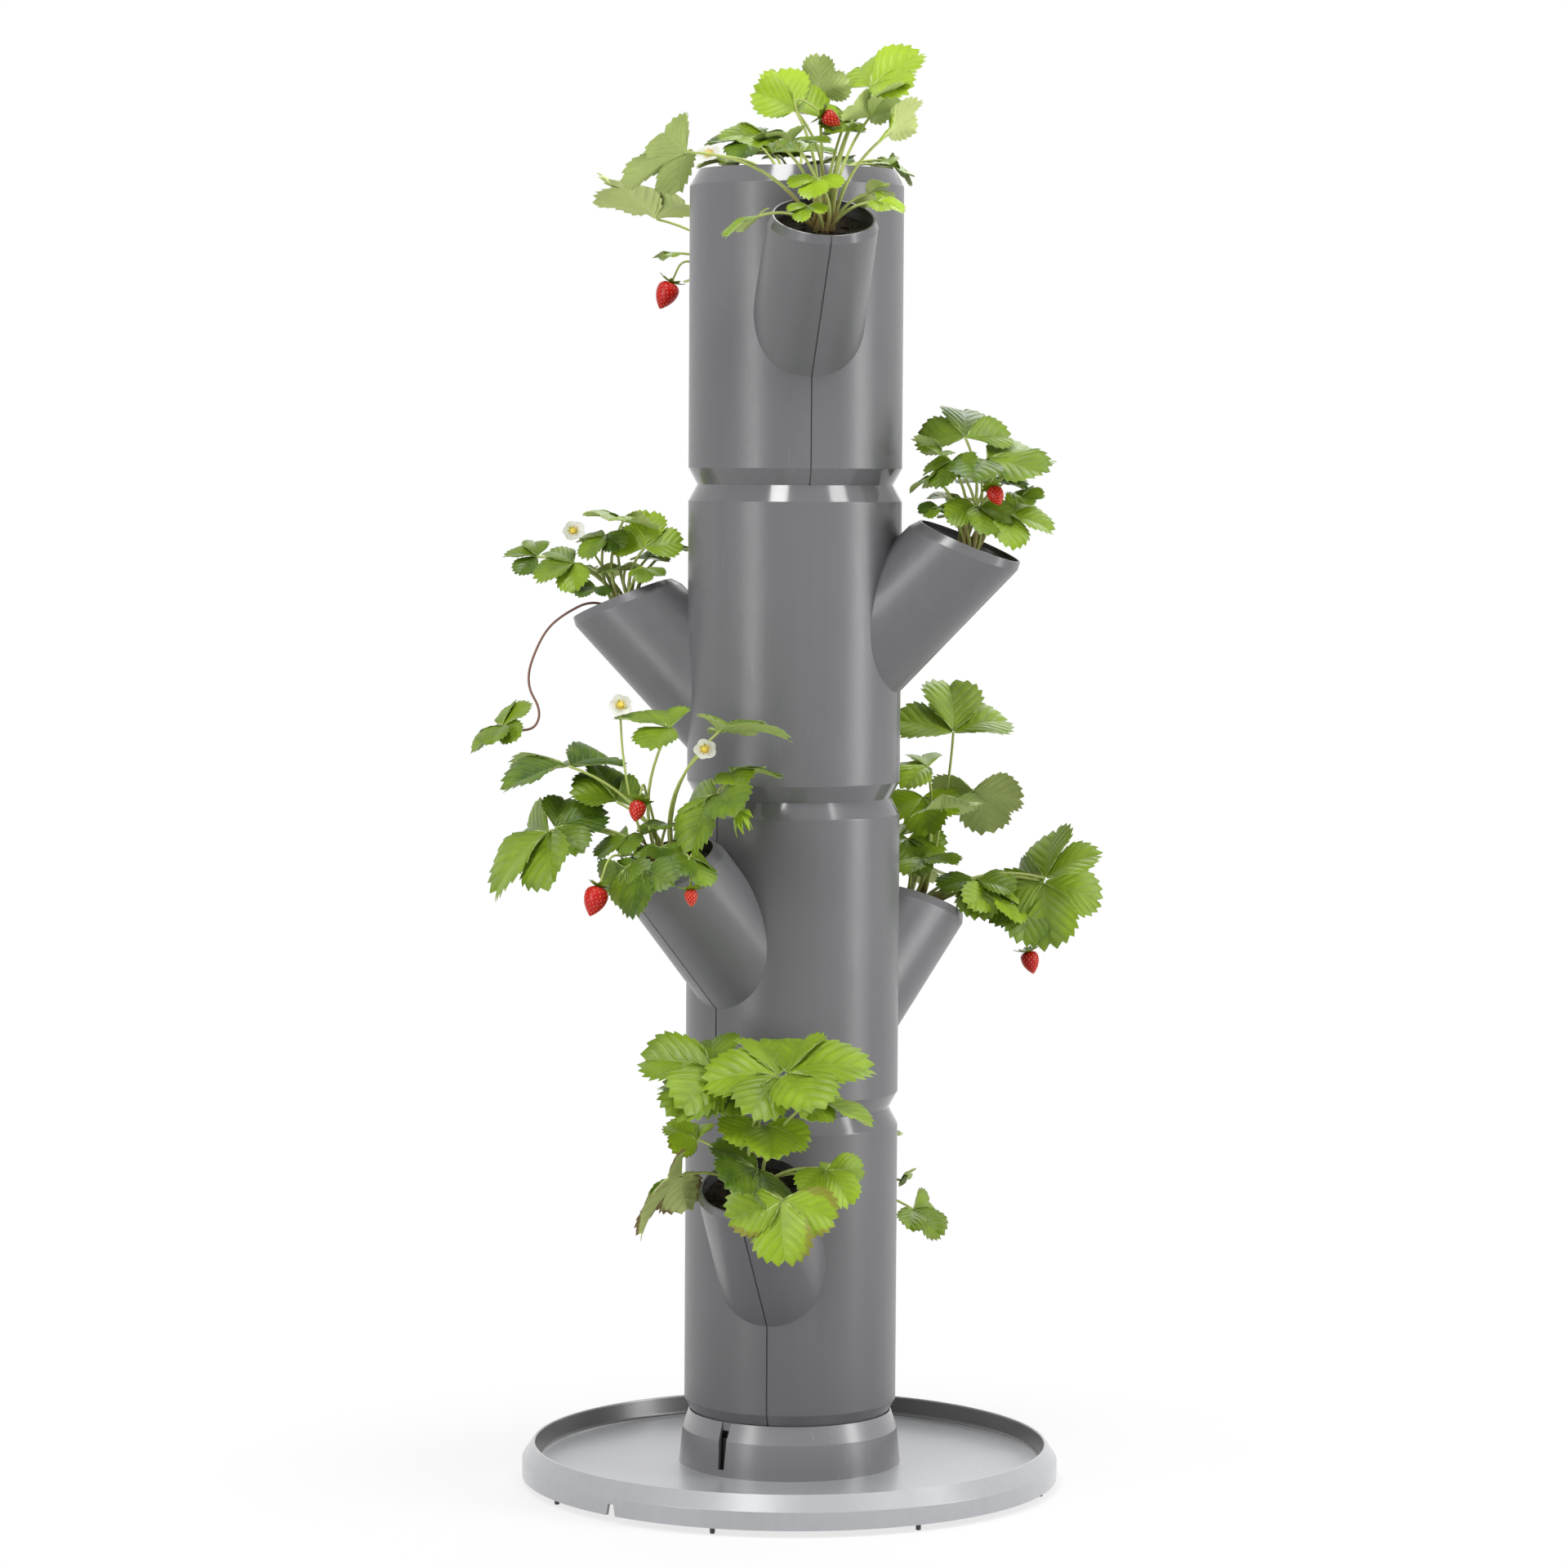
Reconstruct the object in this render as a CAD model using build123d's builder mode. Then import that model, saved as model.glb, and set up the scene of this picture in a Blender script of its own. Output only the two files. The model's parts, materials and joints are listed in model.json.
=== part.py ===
"""Strawberry tower planter: a drip tray and four swivelling storeys, each of two half shells with two pockets."""

import os
from math import atan2, cos, radians, sin, tan

from build123d import *

os.makedirs("parts", exist_ok=True)

# Driving dimensions, in millimetres and degrees
# Drip tray
tray_radius = 190.0
tray_wall = 2.5
skirt_bottom = 5.0
skirt_height = 12.5
rim_slope_height = 10.7
rim_slope_depth = 7.5
rim_lip = 1.5
rim_thickness = 5.75
well_depth = 13.9
well_draft = 2.5
well_fillet = 3.0
tray_edge_fillet = 0.8
# Collar and cup in the middle of the tray
collar_foot_radius = 78.5
collar_shoulder_radius = 76.2
collar_shoulder_height = 25.1
collar_lip_rise = 3.4
collar_lip = 0.6
cup_top_gap = 8.5
drain_slot_turn = -38.0
drain_slot_width = 8.0
drain_slot_foot_width = 5.0
drain_slot_foot = 5.0
skirt_notch_turn = -40.0
skirt_notch_width = 8.0
skirt_notch_top_width = 5.0
skirt_notch_height = 8.0
skirt_notch_depth = 7.5
# Feet of the tray
foot_count = 8
foot_turn = -16.5
foot_radius = 1.75
foot_clearance = 0.1
foot_socket_depth = 9.0
foot_boss_radius = 4.0
foot_boss_height = 11.0
foot_edge_fillet = 0.8
# One storey
storey_base = 48.5
storey_height = 219.5
tube_radius = 75.0
shell_wall = 2.5
bevel_height = 11.5
bevel_depth = 6.3
shoulder_fillet = 1.5
spigot_length = 10.0
spigot_clearance = 0.5
seam_gap = 1.0
seam_lap = 3.0
# Pockets of a storey
mouth_reach = 51.0
high_mouth_height = 181.0
low_mouth_height = 138.0
pocket_slope = 45.0
pocket_taper = 0.9
mouth_tilt = 22.5
pocket_radius = 37.6
pocket_root = 30.0
band_height = 6.5
band_depth = 2.8
band_lip = 1.2
# Soil
soil_clearance = 0.3
pocket_soil_drop = 12.0
top_soil_drop = 26.0

# Plants
crown_radius = 8.0
crown_ring = 6.5
crown_height = 9.0
stalk_radius = 1.0
stalk_bow = 0.14
stalk_lean = 0.4
berry_stalk_radius = 0.8
berry_stalk_bend = 4.0
leaf_thickness = 1.0
leaflet_spread = 70.0
leaflet_shoulder_share = 0.46
leaflet_width_share = 0.72
side_leaflet_share = 0.88
calyx_radius = 6.0
calyx_thickness = 1.0
lobe_count = 5
lobe_width_share = 0.72
berry_width_share = 0.78
berry_shoulder_share = 0.6
berry_widest_share = 0.36
berry_tip_share = 0.2
flower_radius = 8.5
flower_thickness = 1.0
flower_middle_radius = 2.6
flower_middle_height = 2.0
runner_radius = 0.9
runner_bend = 9.0

# Turn of each storey's high pocket about the tower, from the bottom storey up
storey_turns = {"bottom": -12.5, "lower": -45.0, "upper": 76.0, "top": 8.2}

# Leaves of each plant: where the stalk ends, from the middle of the mouth (sideways, outward, up), then the
# middle leaflet's turn from outward towards sideways, its rise, its roll and its length
leaves = {
    "bottom_high": [
        (29, 21, 80, 97, 20, 30, 56),
        (-22, 18, 80, -85, 8, -32, 52),
        (24, 24, 79, -72, 9, -26, 50),
        (-21, 16, 70, -34, -24, -7, 46),
        (46, 14, 62, 80, -15, 10, 42),
        (12, 16, 43, 25, -25, 0, 38),
        (9, 20, 14, -21, -8, -35, 42),
        (30, 38, -3, 10, -70, 0, 44),
        (-46, 12, 7, -50, -47, 46, 50),
        (-38, 0, 30, -100, 20, -30, 26),
        (54, 10, 14, 60, -45, 20, 30),
        (50, 2, 8, 100, -15, 30, 22),
    ],
    "bottom_low": [
        (-58, 30, -14, -85, -40, 20, 30),
        (-50, 25, 8, -90, 40, 0, 14),
        (-20, 20, 40, -40, 15, 0, 34),
        (15, 25, 45, 30, 20, 0, 36),
        (30, 10, 25, 80, 10, 0, 30),
        (0, 44, 15, 0, -15, 0, 32),
        (36, 34, 8, 50, -30, 0, 28),
    ],
    "lower_high": [
        (54, 0, 91, 125, 6, -8, 48),
        (16, 10, 92, -50, 12, -15, 38),
        (52, -14, 63, 120, 0, 0, 34),
        (54, 0, 49, -16, -50, 0, 46),
        (-42, 50, 65, -105, 5, -8, 54),
        (-26, 20, 40, -96, 50, 6, 36),
        (-45, 65, 21, -40, -38, -20, 58),
        (-44, 61, 23, 135, 18, 45, 36),
        (22, 38, -2, 10, -62, 0, 34),
        (18, 20, 11, 45, -20, 0, 22),
        (6, 41, -2, 0, -82, 0, 30),
        (46, 20, 6, 100, -40, 0, 26),
        (8, 4, 26, 30, -8, 0, 24),
        (-40, 10, 45, -90, 15, 0, 34),
        (-10, 24, 18, -25, -35, 0, 26),
    ],
    "lower_low": [
        (-13, 25, 122, 45, 50, 0, 50),
        (-4, 8, 97, 120, 0, -20, 34),
        (-10, 16, 67, -90, 20, 0, 34),
        (-19, 40, 80, 11, -46, -2, 42),
        (-8, 0, 31, -90, -10, 0, 30),
        (-32, 30, 16, -135, -40, 0, 34),
        (-42, 38, 7, -100, -35, 0, 34),
        (-67, 66, 17, 38, 50, -38, 48),
        (-64, 68, 14, -130, -62, 0, 50),
        (-56, 60, 4, -135, -55, 0, 40),
        (30, 15, 45, 60, 15, 0, 34),
        (25, 30, 20, 30, -10, 0, 28),
        (12, 20, 74, -135, -45, 0, 34),
        (15, 7, 44, -120, -35, 0, 32),
    ],
    "upper_high": [
        (-2, -4, 72, 104, 40, 0, 40),
        (-10, -18, 62, -150, 20, 0, 24),
        (-6, 12, 57, -20, -12, 15, 46),
        (-12, -24, 45, -170, -25, 0, 20),
        (-14, 8, 24, -60, -42, 0, 30),
        (-4, 27, 19, 10, -22, 40, 34),
        (10, 34, 31, 10, 10, 20, 16),
        (-14, -20, 24, -100, -30, 0, 16),
        (-6, -8, 17, -90, 0, 0, 16),
        (25, 5, 40, 60, 15, 0, 34),
        (30, -12, 28, 120, 5, 0, 28),
        (20, 25, 50, 40, 20, 0, 32),
        (-16, -10, 56, -110, -40, 0, 26),
    ],
    "upper_low": [
        (5, -2, 55, 90, 15, 0, 32),
        (10, -19, 36, -100, 65, 0, 30),
        (-12, -35, 36, -110, 5, 0, 18),
        (12, 32, 25, 30, -15, -30, 30),
        (0, 63, 29, 0, 5, -35, 24),
        (8, 10, 45, 60, -30, 0, 26),
        (20, -24, 22, 90, -35, 0, 16),
        (18, 14, 8, 60, -20, 0, 18),
        (0, -2, 20, 80, 10, 0, 22),
        (-25, 10, 38, -60, 10, 0, 32),
        (-28, 28, 20, -40, -5, 0, 28),
        (-10, -15, 28, -130, 20, 0, 22),
    ],
    "top_high": [
        (-20, 5, 70, -160, 65, 0, 37),
        (-2, -20, 85, 0, 75, 0, 26),
        (32, -5, 88, 95, 45, 20, 41),
        (30, 6, 67, 45, 50, 0, 34),
        (45, 0, 57, 60, 60, 0, 30),
        (-24, 12, 50, -20, 5, 0, 30),
        (-95, 12, 41, -92, -27, 24, 48),
        (-8, 18, 24, -20, -35, 0, 22),
        (-47, 12, -1, -80, -32, 10, 26),
        (34, 14, 10, 70, -20, 20, 20),
        (14, -15, 58, 150, 40, 0, 18),
        (30, -4, 16, 110, 5, -20, 20),
        (-14, 20, 6, -30, -30, 0, 16),
    ],
    "top_low": [
        (83, 10, 53, 130, 38, -4, 56),
        (73, 0, 28, 100, -10, 0, 14),
        (-30, 25, 40, -60, 20, 0, 34),
        (20, 35, 45, 20, 25, 0, 36),
        (-15, 47, 20, 0, -5, 0, 30),
        (36, 33, 15, 60, -10, 0, 26),
    ],
    "top_mouth": [
        (-26, -28, 46, -100, 5, -20, 34),
        (-12, -35, 40, 180, 40, 0, 24),
        (23, -25, 34, 120, 10, 0, 24),
        (60, -20, 32, 90, 0, 0, 26),
        (70, -34, 35, 100, -45, 0, 24),
        (-42, -30, 33, -100, 5, 0, 24),
        (-5, -50, 38, 180, 15, 0, 26),
        (6, -20, 40, 150, 20, 0, 28),
    ],
}

# Berries: the stalk's highest point, its end (sideways, outward, up) and the berry's length
berries = {
    "lower_high": [
        ((3, 22, 58), (7, 30, 43), 15),
        ((0, 50, 9), (-1, 59, -14), 21),
        ((48, 22, 11), (54, 26, -14), 12),
    ],
    "lower_low": [((-46, 54, 9), (-54, 62, -36), 17)],
    "upper_high": [((-6, 10, 52), (-14, 18, 38), 15)],
    "top_high": [((-22, 6, 82), (-3, 9, 69), 14)],
    "top_low": [((64, 5, 26), (72, 5, 8), 21)],
}

# Spent flowers, which hang like berries but stay green on their plant
spent_flowers = {"lower_high": [((38, -22, 58), (46, -27, 36), 12)]}

# Flowers: where each stands, from the middle of the mouth (sideways, outward, up)
flowers = {
    "lower_high": [(-12, 30, 107), (57, 16, 79)],
    "upper_low": [(14, 32, 47)],
    "top_mouth": [(-61, -10, 36)],
}

# Runners: each goes over the rim and down to its plantlet (sideways, outward, up)
runners = {
    "upper_low": [
        [
            (8, 16, 1),
            (8, 44, -13),
            (8, 58, -28),
            (8, 70, -60),
            (8, 56, -82),
            (8, 66, -98),
            (8, 86, -92),
        ],
    ],
}
runner_leaves = {
    "upper_low": [
        (8, 86, -92, 170, 48, 50, 26),
        (8, 86, -92, 10, -30, -20, 30),
    ],
}

# Worked out from the driving dimensions
shoulder_level = skirt_bottom + skirt_height
rim_level = shoulder_level + rim_slope_height
rim_radius = tray_radius - rim_slope_depth
floor_level = rim_level - well_depth
well_radius = rim_radius - rim_lip - well_draft
end_radius = tube_radius - bevel_depth
mouth_radius = end_radius - shell_wall
spigot_radius = mouth_radius - spigot_clearance
bevel_slope = bevel_depth / bevel_height
collar_top_level = storey_base + collar_lip_rise
collar_mouth_radius = end_radius + bevel_slope * collar_lip_rise + spigot_clearance
collar_top_radius = collar_mouth_radius + collar_lip
collar_shoulder_level = floor_level + collar_shoulder_height
cup_top_level = storey_base - cup_top_gap
storeys = {name: storey_base + level * storey_height for level, name in enumerate(storey_turns)}


def finish(name, part):
    """Label one finished piece and write its file."""
    part.label = name
    export_step(part, f"parts/{name}.step")


def place(storey):
    """Place and turn of a storey in the tower."""
    return Location((0, 0, storeys[storey]), (0, 0, storey_turns[storey]))


def around(turn, radius, level):
    """Plane that stands on a circle about the tower and faces outward, with its Y axis up."""
    out = Vector(sin(radians(turn)), -cos(radians(turn)), 0)
    return Plane(origin=out * radius + Vector(0, 0, level), x_dir=Vector(0, 0, 1).cross(out), z_dir=out)


def tapered_slot(plane, foot_width, top_width, height, depth):
    """Cut that narrows to one end, pushed inward from its plane."""
    with BuildPart() as slot:
        with BuildSketch(plane) as outline:
            with BuildLine():
                Polyline(
                    (-foot_width / 2, 0),
                    (foot_width / 2, 0),
                    (top_width / 2, height),
                    (-top_width / 2, height),
                    close=True,
                )
            make_face()
        extrude(amount=-depth)
    return slot.part


# The drip tray is one moulding with its skirt, rim, floor, collar and central cup
skirt_inner = tray_radius - tray_wall
floor_under = floor_level - tray_wall
cup_outer = mouth_radius + tray_wall
rim_hollow_level = rim_level - rim_thickness
collar_slope = (collar_shoulder_radius - collar_top_radius) / (collar_top_level - collar_shoulder_level)
ledge_under = storey_base - tray_wall
ledge_radius = collar_shoulder_radius - tray_wall - collar_slope * (ledge_under - collar_shoulder_level)

with BuildPart() as drip_tray:
    with BuildSketch(Plane.XZ) as tray_profile:
        with BuildLine():
            Polyline(
                (tray_radius, skirt_bottom),
                (tray_radius, shoulder_level),
                (rim_radius, rim_level),
                (rim_radius - rim_lip, rim_level),
                (well_radius, floor_level),
                (collar_foot_radius, floor_level),
                (collar_shoulder_radius, collar_shoulder_level),
                (collar_top_radius, collar_top_level),
                (collar_mouth_radius, collar_top_level),
                (end_radius + spigot_clearance, storey_base),
                (mouth_radius, storey_base),
                (mouth_radius, ledge_under),
                (ledge_radius, ledge_under),
                (collar_shoulder_radius - tray_wall, collar_shoulder_level),
                (collar_foot_radius - tray_wall, floor_level),
                (cup_outer, floor_level),
                (cup_outer, cup_top_level),
                (mouth_radius, cup_top_level),
                (mouth_radius, tray_wall),
                (0, tray_wall),
                (0, 0),
                (cup_outer, 0),
                (cup_outer, floor_under),
                (well_radius + tray_wall, floor_under),
                (rim_radius - rim_lip, rim_hollow_level),
                (rim_radius, rim_hollow_level),
                (skirt_inner, shoulder_level - tray_wall / 2),
                (skirt_inner, skirt_bottom),
                close=True,
            )
        make_face()
        corners = tray_profile.vertices()
        fillet(corners.sort_by_distance((well_radius, floor_level))[0], well_fillet)
        for corner in (
            (tray_radius, shoulder_level),
            (collar_shoulder_radius, collar_shoulder_level),
        ):
            fillet(tray_profile.vertices().sort_by_distance(corner)[0], tray_edge_fillet)
    revolve(axis=Axis.Z)
    # Bosses under the rim that hold the feet
    with BuildSketch(Plane.XY.offset(skirt_bottom)):
        with PolarLocations(skirt_inner - foot_boss_radius, foot_count, foot_turn - 90):
            Circle(foot_boss_radius)
    extrude(amount=foot_boss_height)
    with BuildSketch(Plane.XY.offset(skirt_bottom)):
        with PolarLocations(skirt_inner - foot_boss_radius, foot_count, foot_turn - 90):
            Circle(foot_radius + foot_clearance)
    extrude(amount=foot_socket_depth, mode=Mode.SUBTRACT)
    # Drain slot through the collar's wall and water notch through the skirt
    add(
        tapered_slot(
            around(drain_slot_turn, collar_foot_radius + tray_wall, floor_level + drain_slot_foot),
            drain_slot_foot_width,
            drain_slot_width,
            collar_top_level - floor_level - drain_slot_foot + tray_wall,
            collar_foot_radius - cup_outer,
        ),
        mode=Mode.SUBTRACT,
    )
    add(
        tapered_slot(
            around(skirt_notch_turn, tray_radius + tray_wall, skirt_bottom),
            skirt_notch_width,
            skirt_notch_top_width,
            skirt_notch_height,
            skirt_notch_depth,
        ),
        mode=Mode.SUBTRACT,
    )
finish("drip_tray", drip_tray.part)

# Peg feet, pushed up into the bosses
with BuildPart() as tray_feet:
    with BuildSketch():
        with PolarLocations(skirt_inner - foot_boss_radius, foot_count, foot_turn - 90):
            Circle(foot_radius)
    extrude(amount=skirt_bottom + foot_socket_depth)
    fillet(tray_feet.edges().group_by(Axis.Z)[0], foot_edge_fillet)
finish("tray_feet", tray_feet.part)

# Soil in the cup, up to the end of the bottom storey's spigot
with BuildPart() as base_soil:
    with BuildSketch(Plane.XY.offset(tray_wall)):
        Circle(mouth_radius - soil_clearance)
    extrude(amount=storey_base - spigot_length - tray_wall)
finish("base_soil", base_soil.part)


def pocket_planes(side):
    """Planes of a pocket in its storey: across its cone's root, and across its mouth."""
    front = -1 if side == "high" else 1
    mouth_height = high_mouth_height if side == "high" else low_mouth_height
    reach = tube_radius + mouth_reach
    slope = radians(pocket_slope)
    tilt = radians(mouth_tilt)
    axis = Vector(0, front * cos(slope), sin(slope))
    root = Vector(0, front * pocket_root, mouth_height - (reach - pocket_root) * tan(slope))
    mouth = Vector(0, front * reach, mouth_height)
    root_plane = Plane(origin=root, x_dir=(1, 0, 0), z_dir=axis)
    mouth_plane = Plane(origin=mouth, x_dir=(1, 0, 0), z_dir=(0, front * sin(tilt), cos(tilt)))
    return root_plane, mouth_plane


def pocket_volume(side, inset, drop=0.0):
    """Solid of one pocket, from inside the tube to its mouth, with its walls set in by `inset`."""
    root_plane, mouth_plane = pocket_planes(side)
    length = (mouth_plane.origin - root_plane.origin).length
    spread = tan(radians(pocket_taper))
    overrun = 2 * pocket_radius
    with BuildPart() as pocket:
        with Locations(root_plane):
            Cone(
                pocket_radius - inset + length * spread,
                pocket_radius - inset - overrun * spread,
                length + overrun,
                align=(Align.CENTER, Align.CENTER, Align.MIN),
            )
        split(bisect_by=mouth_plane.offset(-drop), keep=Keep.BOTTOM)
        if drop == 0:
            # The mouth's rim is a band that leans inward to a thin lip
            mouth_face = pocket.faces().filter_by(GeomType.PLANE).sort_by(Axis.Z)[-1]
            depth = band_depth - inset * (1 - band_lip / shell_wall)
            chamfer(
                mouth_face.edges(),
                length=depth,
                length2=band_height * depth / band_depth,
                reference=mouth_face,
            )
    return pocket.part


def storey_volume(inset, pocket_drop=0.0, top_drop=0.0):
    """Solid of one storey with its pockets and spigot, with its walls set in by `inset`."""
    with BuildPart() as volume:
        with BuildSketch(Plane.XZ) as profile:
            with BuildLine():
                Polyline(
                    (0, -spigot_length),
                    (spigot_radius - inset, -spigot_length),
                    (spigot_radius - inset, inset),
                    (end_radius - inset + bevel_slope * inset, inset),
                    (tube_radius - inset, bevel_height),
                    (tube_radius - inset, storey_height - bevel_height),
                    (end_radius - inset, storey_height),
                    (0, storey_height),
                    close=True,
                )
            make_face()
            for level in (bevel_height, storey_height - bevel_height):
                fillet(profile.vertices().sort_by_distance((tube_radius - inset, level))[0], shoulder_fillet)
        revolve(axis=Axis.Z)
        if top_drop > 0:
            split(bisect_by=Plane.XY.offset(storey_height - top_drop), keep=Keep.BOTTOM)
        for side in ("high", "low"):
            add(pocket_volume(side, inset, pocket_drop))
    return volume.part


# A storey's skin, the surface halfway through its wall and its hollow
skin = storey_volume(0)
lap_surface = storey_volume(shell_wall / 2)
hollow = storey_volume(shell_wall)

# The halves meet on the plane through both pockets, where the left one's inner lip laps under the right one
with BuildPart() as left_shell:
    add(skin)
    split(bisect_by=Plane.YZ.offset(-seam_gap / 2), keep=Keep.BOTTOM)
    add(lap_surface, mode=Mode.SUBTRACT)
with BuildPart() as left_lining:
    add(lap_surface)
    split(bisect_by=Plane.YZ.offset(seam_lap), keep=Keep.BOTTOM)
    add(hollow, mode=Mode.SUBTRACT)
with BuildPart() as right_shell:
    add(skin)
    split(bisect_by=Plane.YZ.offset(seam_gap / 2), keep=Keep.TOP)
    add(lap_surface, mode=Mode.SUBTRACT)
with BuildPart() as right_lining:
    add(lap_surface)
    split(bisect_by=Plane.YZ.offset(seam_lap), keep=Keep.TOP)
    add(hollow, mode=Mode.SUBTRACT)

for storey in storeys:
    soil_top = top_soil_drop if storey == "top" else spigot_length
    with BuildPart() as left:
        add([left_shell.part, left_lining.part])
    finish(f"{storey}_left_shell", left.part.moved(place(storey)))
    with BuildPart() as right:
        add([right_shell.part, right_lining.part])
    finish(f"{storey}_right_shell", right.part.moved(place(storey)))
    soil = storey_volume(shell_wall + soil_clearance, pocket_soil_drop, soil_top)
    finish(f"{storey}_soil", soil.moved(place(storey)))


class Plant:
    """Frame of one plant in its storey: sideways, outward and up from the middle of its mouth."""

    def __init__(self, name):
        self.storey, self.side = name.split("_")
        if self.side == "mouth":
            self.mouth = Plane.XY.offset(storey_height - top_soil_drop)
            self.soil = self.mouth
        else:
            self.mouth = pocket_planes(self.side)[1]
            self.soil = self.mouth.offset(-pocket_soil_drop)
        self.outward = Vector(0, 1, 0) if self.side == "low" else Vector(0, -1, 0)
        self.sideways = Vector(0, 0, 1).cross(self.outward)

    def point(self, sideways, outward, up):
        """Point of the storey at these distances from the middle of the mouth."""
        return self.mouth.origin + self.sideways * sideways + self.outward * outward + Vector(0, 0, up)

    def roots(self, ends):
        """Points in a ring inside the crown for the stalks to these ends, in the order of their directions."""
        ahead = self.sideways.cross(self.soil.z_dir)
        heart = self.soil.origin + self.soil.z_dir * (crown_height / 2)
        order = sorted(range(len(ends)), key=lambda index: atan2(ends[index][0], ends[index][1]))
        points = {}
        for rank, index in enumerate(order):
            turn = radians(360 * (rank + 0.5) / len(ends) - 180)
            points[index] = heart + (ahead * cos(turn) + self.sideways * sin(turn)) * crown_ring
        return [points[index] for index in range(len(ends))]

    def blade_plane(self, leaf):
        """Plane of a leaf, with its middle leaflet along X."""
        sideways, outward, up, turn, rise, roll, _ = leaf
        level = self.outward * cos(radians(turn)) + self.sideways * sin(radians(turn))
        ahead = level * cos(radians(rise)) + Vector(0, 0, sin(radians(rise)))
        face = Vector(0, 0, cos(radians(rise))) - level * sin(radians(rise))
        face = face.rotate(Axis((0, 0, 0), ahead), roll)
        return Plane(origin=self.point(sideways, outward, up), x_dir=ahead, z_dir=face)


def tube(path, radius):
    """Round stalk along a path."""
    with BuildPart() as stalk:
        with BuildSketch(Plane(origin=path @ 0, z_dir=path % 0)):
            Circle(radius)
        sweep(path=path)
    return stalk.part


def bowed(start, end, outward):
    """Arc from a crown to the end of a stalk, bowed upward and outward."""
    chord = end - start
    lift = Vector(0, 0, 1) + outward * stalk_lean
    lift = (lift - chord * (lift.dot(chord) / chord.dot(chord))).normalized()
    middle = start + chord / 2 + lift * (chord.length * stalk_bow)
    with BuildLine() as arc:
        ThreePointArc(start, middle, end)
    return arc.line


def leaf_blade(plane, length):
    """Three flat leaflets from one point, each a wedge with a round end."""
    with BuildPart() as blade:
        for turn, share in (
            (0, 1),
            (leaflet_spread, side_leaflet_share),
            (-leaflet_spread, side_leaflet_share),
        ):
            reach = length * share
            shoulder = reach * leaflet_shoulder_share
            half_width = reach * leaflet_width_share / 2
            with BuildSketch(plane * Location((0, 0, 0), (0, 0, turn))):
                with BuildLine():
                    Line((0, 0), (shoulder, half_width))
                    ThreePointArc((shoulder, half_width), (reach, 0), (shoulder, -half_width))
                    Line((shoulder, -half_width), (0, 0))
                make_face()
            extrude(amount=leaf_thickness / 2, both=True)
    return blade.part


def five_lobes(plane, radius, thickness):
    """Flat disc of five round lobes, the calyx of a berry or the petals of a flower."""
    with BuildPart() as disc:
        with BuildSketch(plane):
            Circle(radius / 2)
            with PolarLocations(radius / 2, lobe_count):
                Ellipse(radius / 2, radius * lobe_width_share / 2)
        extrude(amount=thickness)
    return disc.part


def berry_body(plane, length):
    """Berry that hangs along its plane's Z axis from a flat shoulder to a rounded tip."""
    widest = length * berry_width_share / 2
    shoulder = widest * berry_shoulder_share
    tip = widest * berry_tip_share
    section = Plane(origin=plane.origin, x_dir=plane.x_dir, z_dir=plane.x_dir.cross(plane.z_dir))
    with BuildPart() as body:
        with BuildSketch(section):
            with BuildLine():
                Line((0, 0), (shoulder, 0))
                ThreePointArc((shoulder, 0), (widest, length * berry_widest_share), (tip, length))
                Line((tip, length), (0, length))
                Line((0, length), (0, 0))
            make_face()
        revolve(axis=Axis(plane.origin, plane.z_dir))
    return body.part


def flower_head(plane):
    """Open flower on the end of its stalk: five petals and a raised middle."""
    with BuildPart() as head:
        add(five_lobes(plane, flower_radius, flower_thickness))
        with BuildSketch(plane.offset(flower_thickness)):
            Circle(flower_middle_radius)
        extrude(amount=flower_middle_height)
    return head.part


for name, blades in leaves.items():
    plant = Plant(name)
    hanging = berries.get(name, [])
    wilted = spent_flowers.get(name, [])
    standing = flowers.get(name, [])
    trailing = runners.get(name, [])
    ends = [leaf[:3] for leaf in blades]
    ends += [top for top, end, length in hanging + wilted]
    ends += standing
    ends += [route[0] for route in trailing]
    roots = iter(plant.roots(ends))
    greenery = []
    for leaf in blades:
        plane = plant.blade_plane(leaf)
        greenery.append(leaf_blade(plane, leaf[-1]))
        greenery.append(tube(bowed(next(roots), plane.origin, plant.outward), stalk_radius))
    fruit = []
    drops = [(fruit, *berry) for berry in hanging] + [(greenery, *bud) for bud in wilted]
    for kind, top, end, length in drops:
        with BuildLine() as stalk:
            FilletPolyline(next(roots), plant.point(*top), plant.point(*end), radius=berry_stalk_bend)
        hanger = Plane(origin=stalk.wire() @ 1, z_dir=stalk.wire() % 1)
        greenery.append(tube(stalk.wire(), berry_stalk_radius))
        greenery.append(five_lobes(hanger, calyx_radius, calyx_thickness))
        kind.append(berry_body(hanger.offset(calyx_thickness), length))
    blooms = []
    for spot in standing:
        stalk_arc = bowed(next(roots), plant.point(*spot), plant.outward)
        greenery.append(tube(stalk_arc, berry_stalk_radius))
        blooms.append(flower_head(Plane(origin=stalk_arc @ 1, z_dir=stalk_arc % 1)))
    for route in trailing:
        with BuildLine() as stem:
            FilletPolyline(next(roots), *[plant.point(*spot) for spot in route], radius=runner_bend)
        greenery.append(tube(stem.wire(), runner_radius))
    for leaf in runner_leaves.get(name, []):
        greenery.append(leaf_blade(plant.blade_plane(leaf), leaf[-1]))
    with BuildPart() as foliage:
        with BuildSketch(plant.soil):
            Circle(crown_radius)
        extrude(amount=crown_height)
        add(greenery)
    finish(f"{name}_plant", foliage.part.moved(place(plant.storey)))
    if fruit:
        finish(f"{name}_berries", Part(children=fruit).moved(place(plant.storey)))
    if blooms:
        finish(f"{name}_flowers", Part(children=blooms).moved(place(plant.storey)))
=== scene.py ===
"""Looks of the strawberry tower planter: mouldings, soil, plants, berries, flowers, floor and light."""

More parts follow.
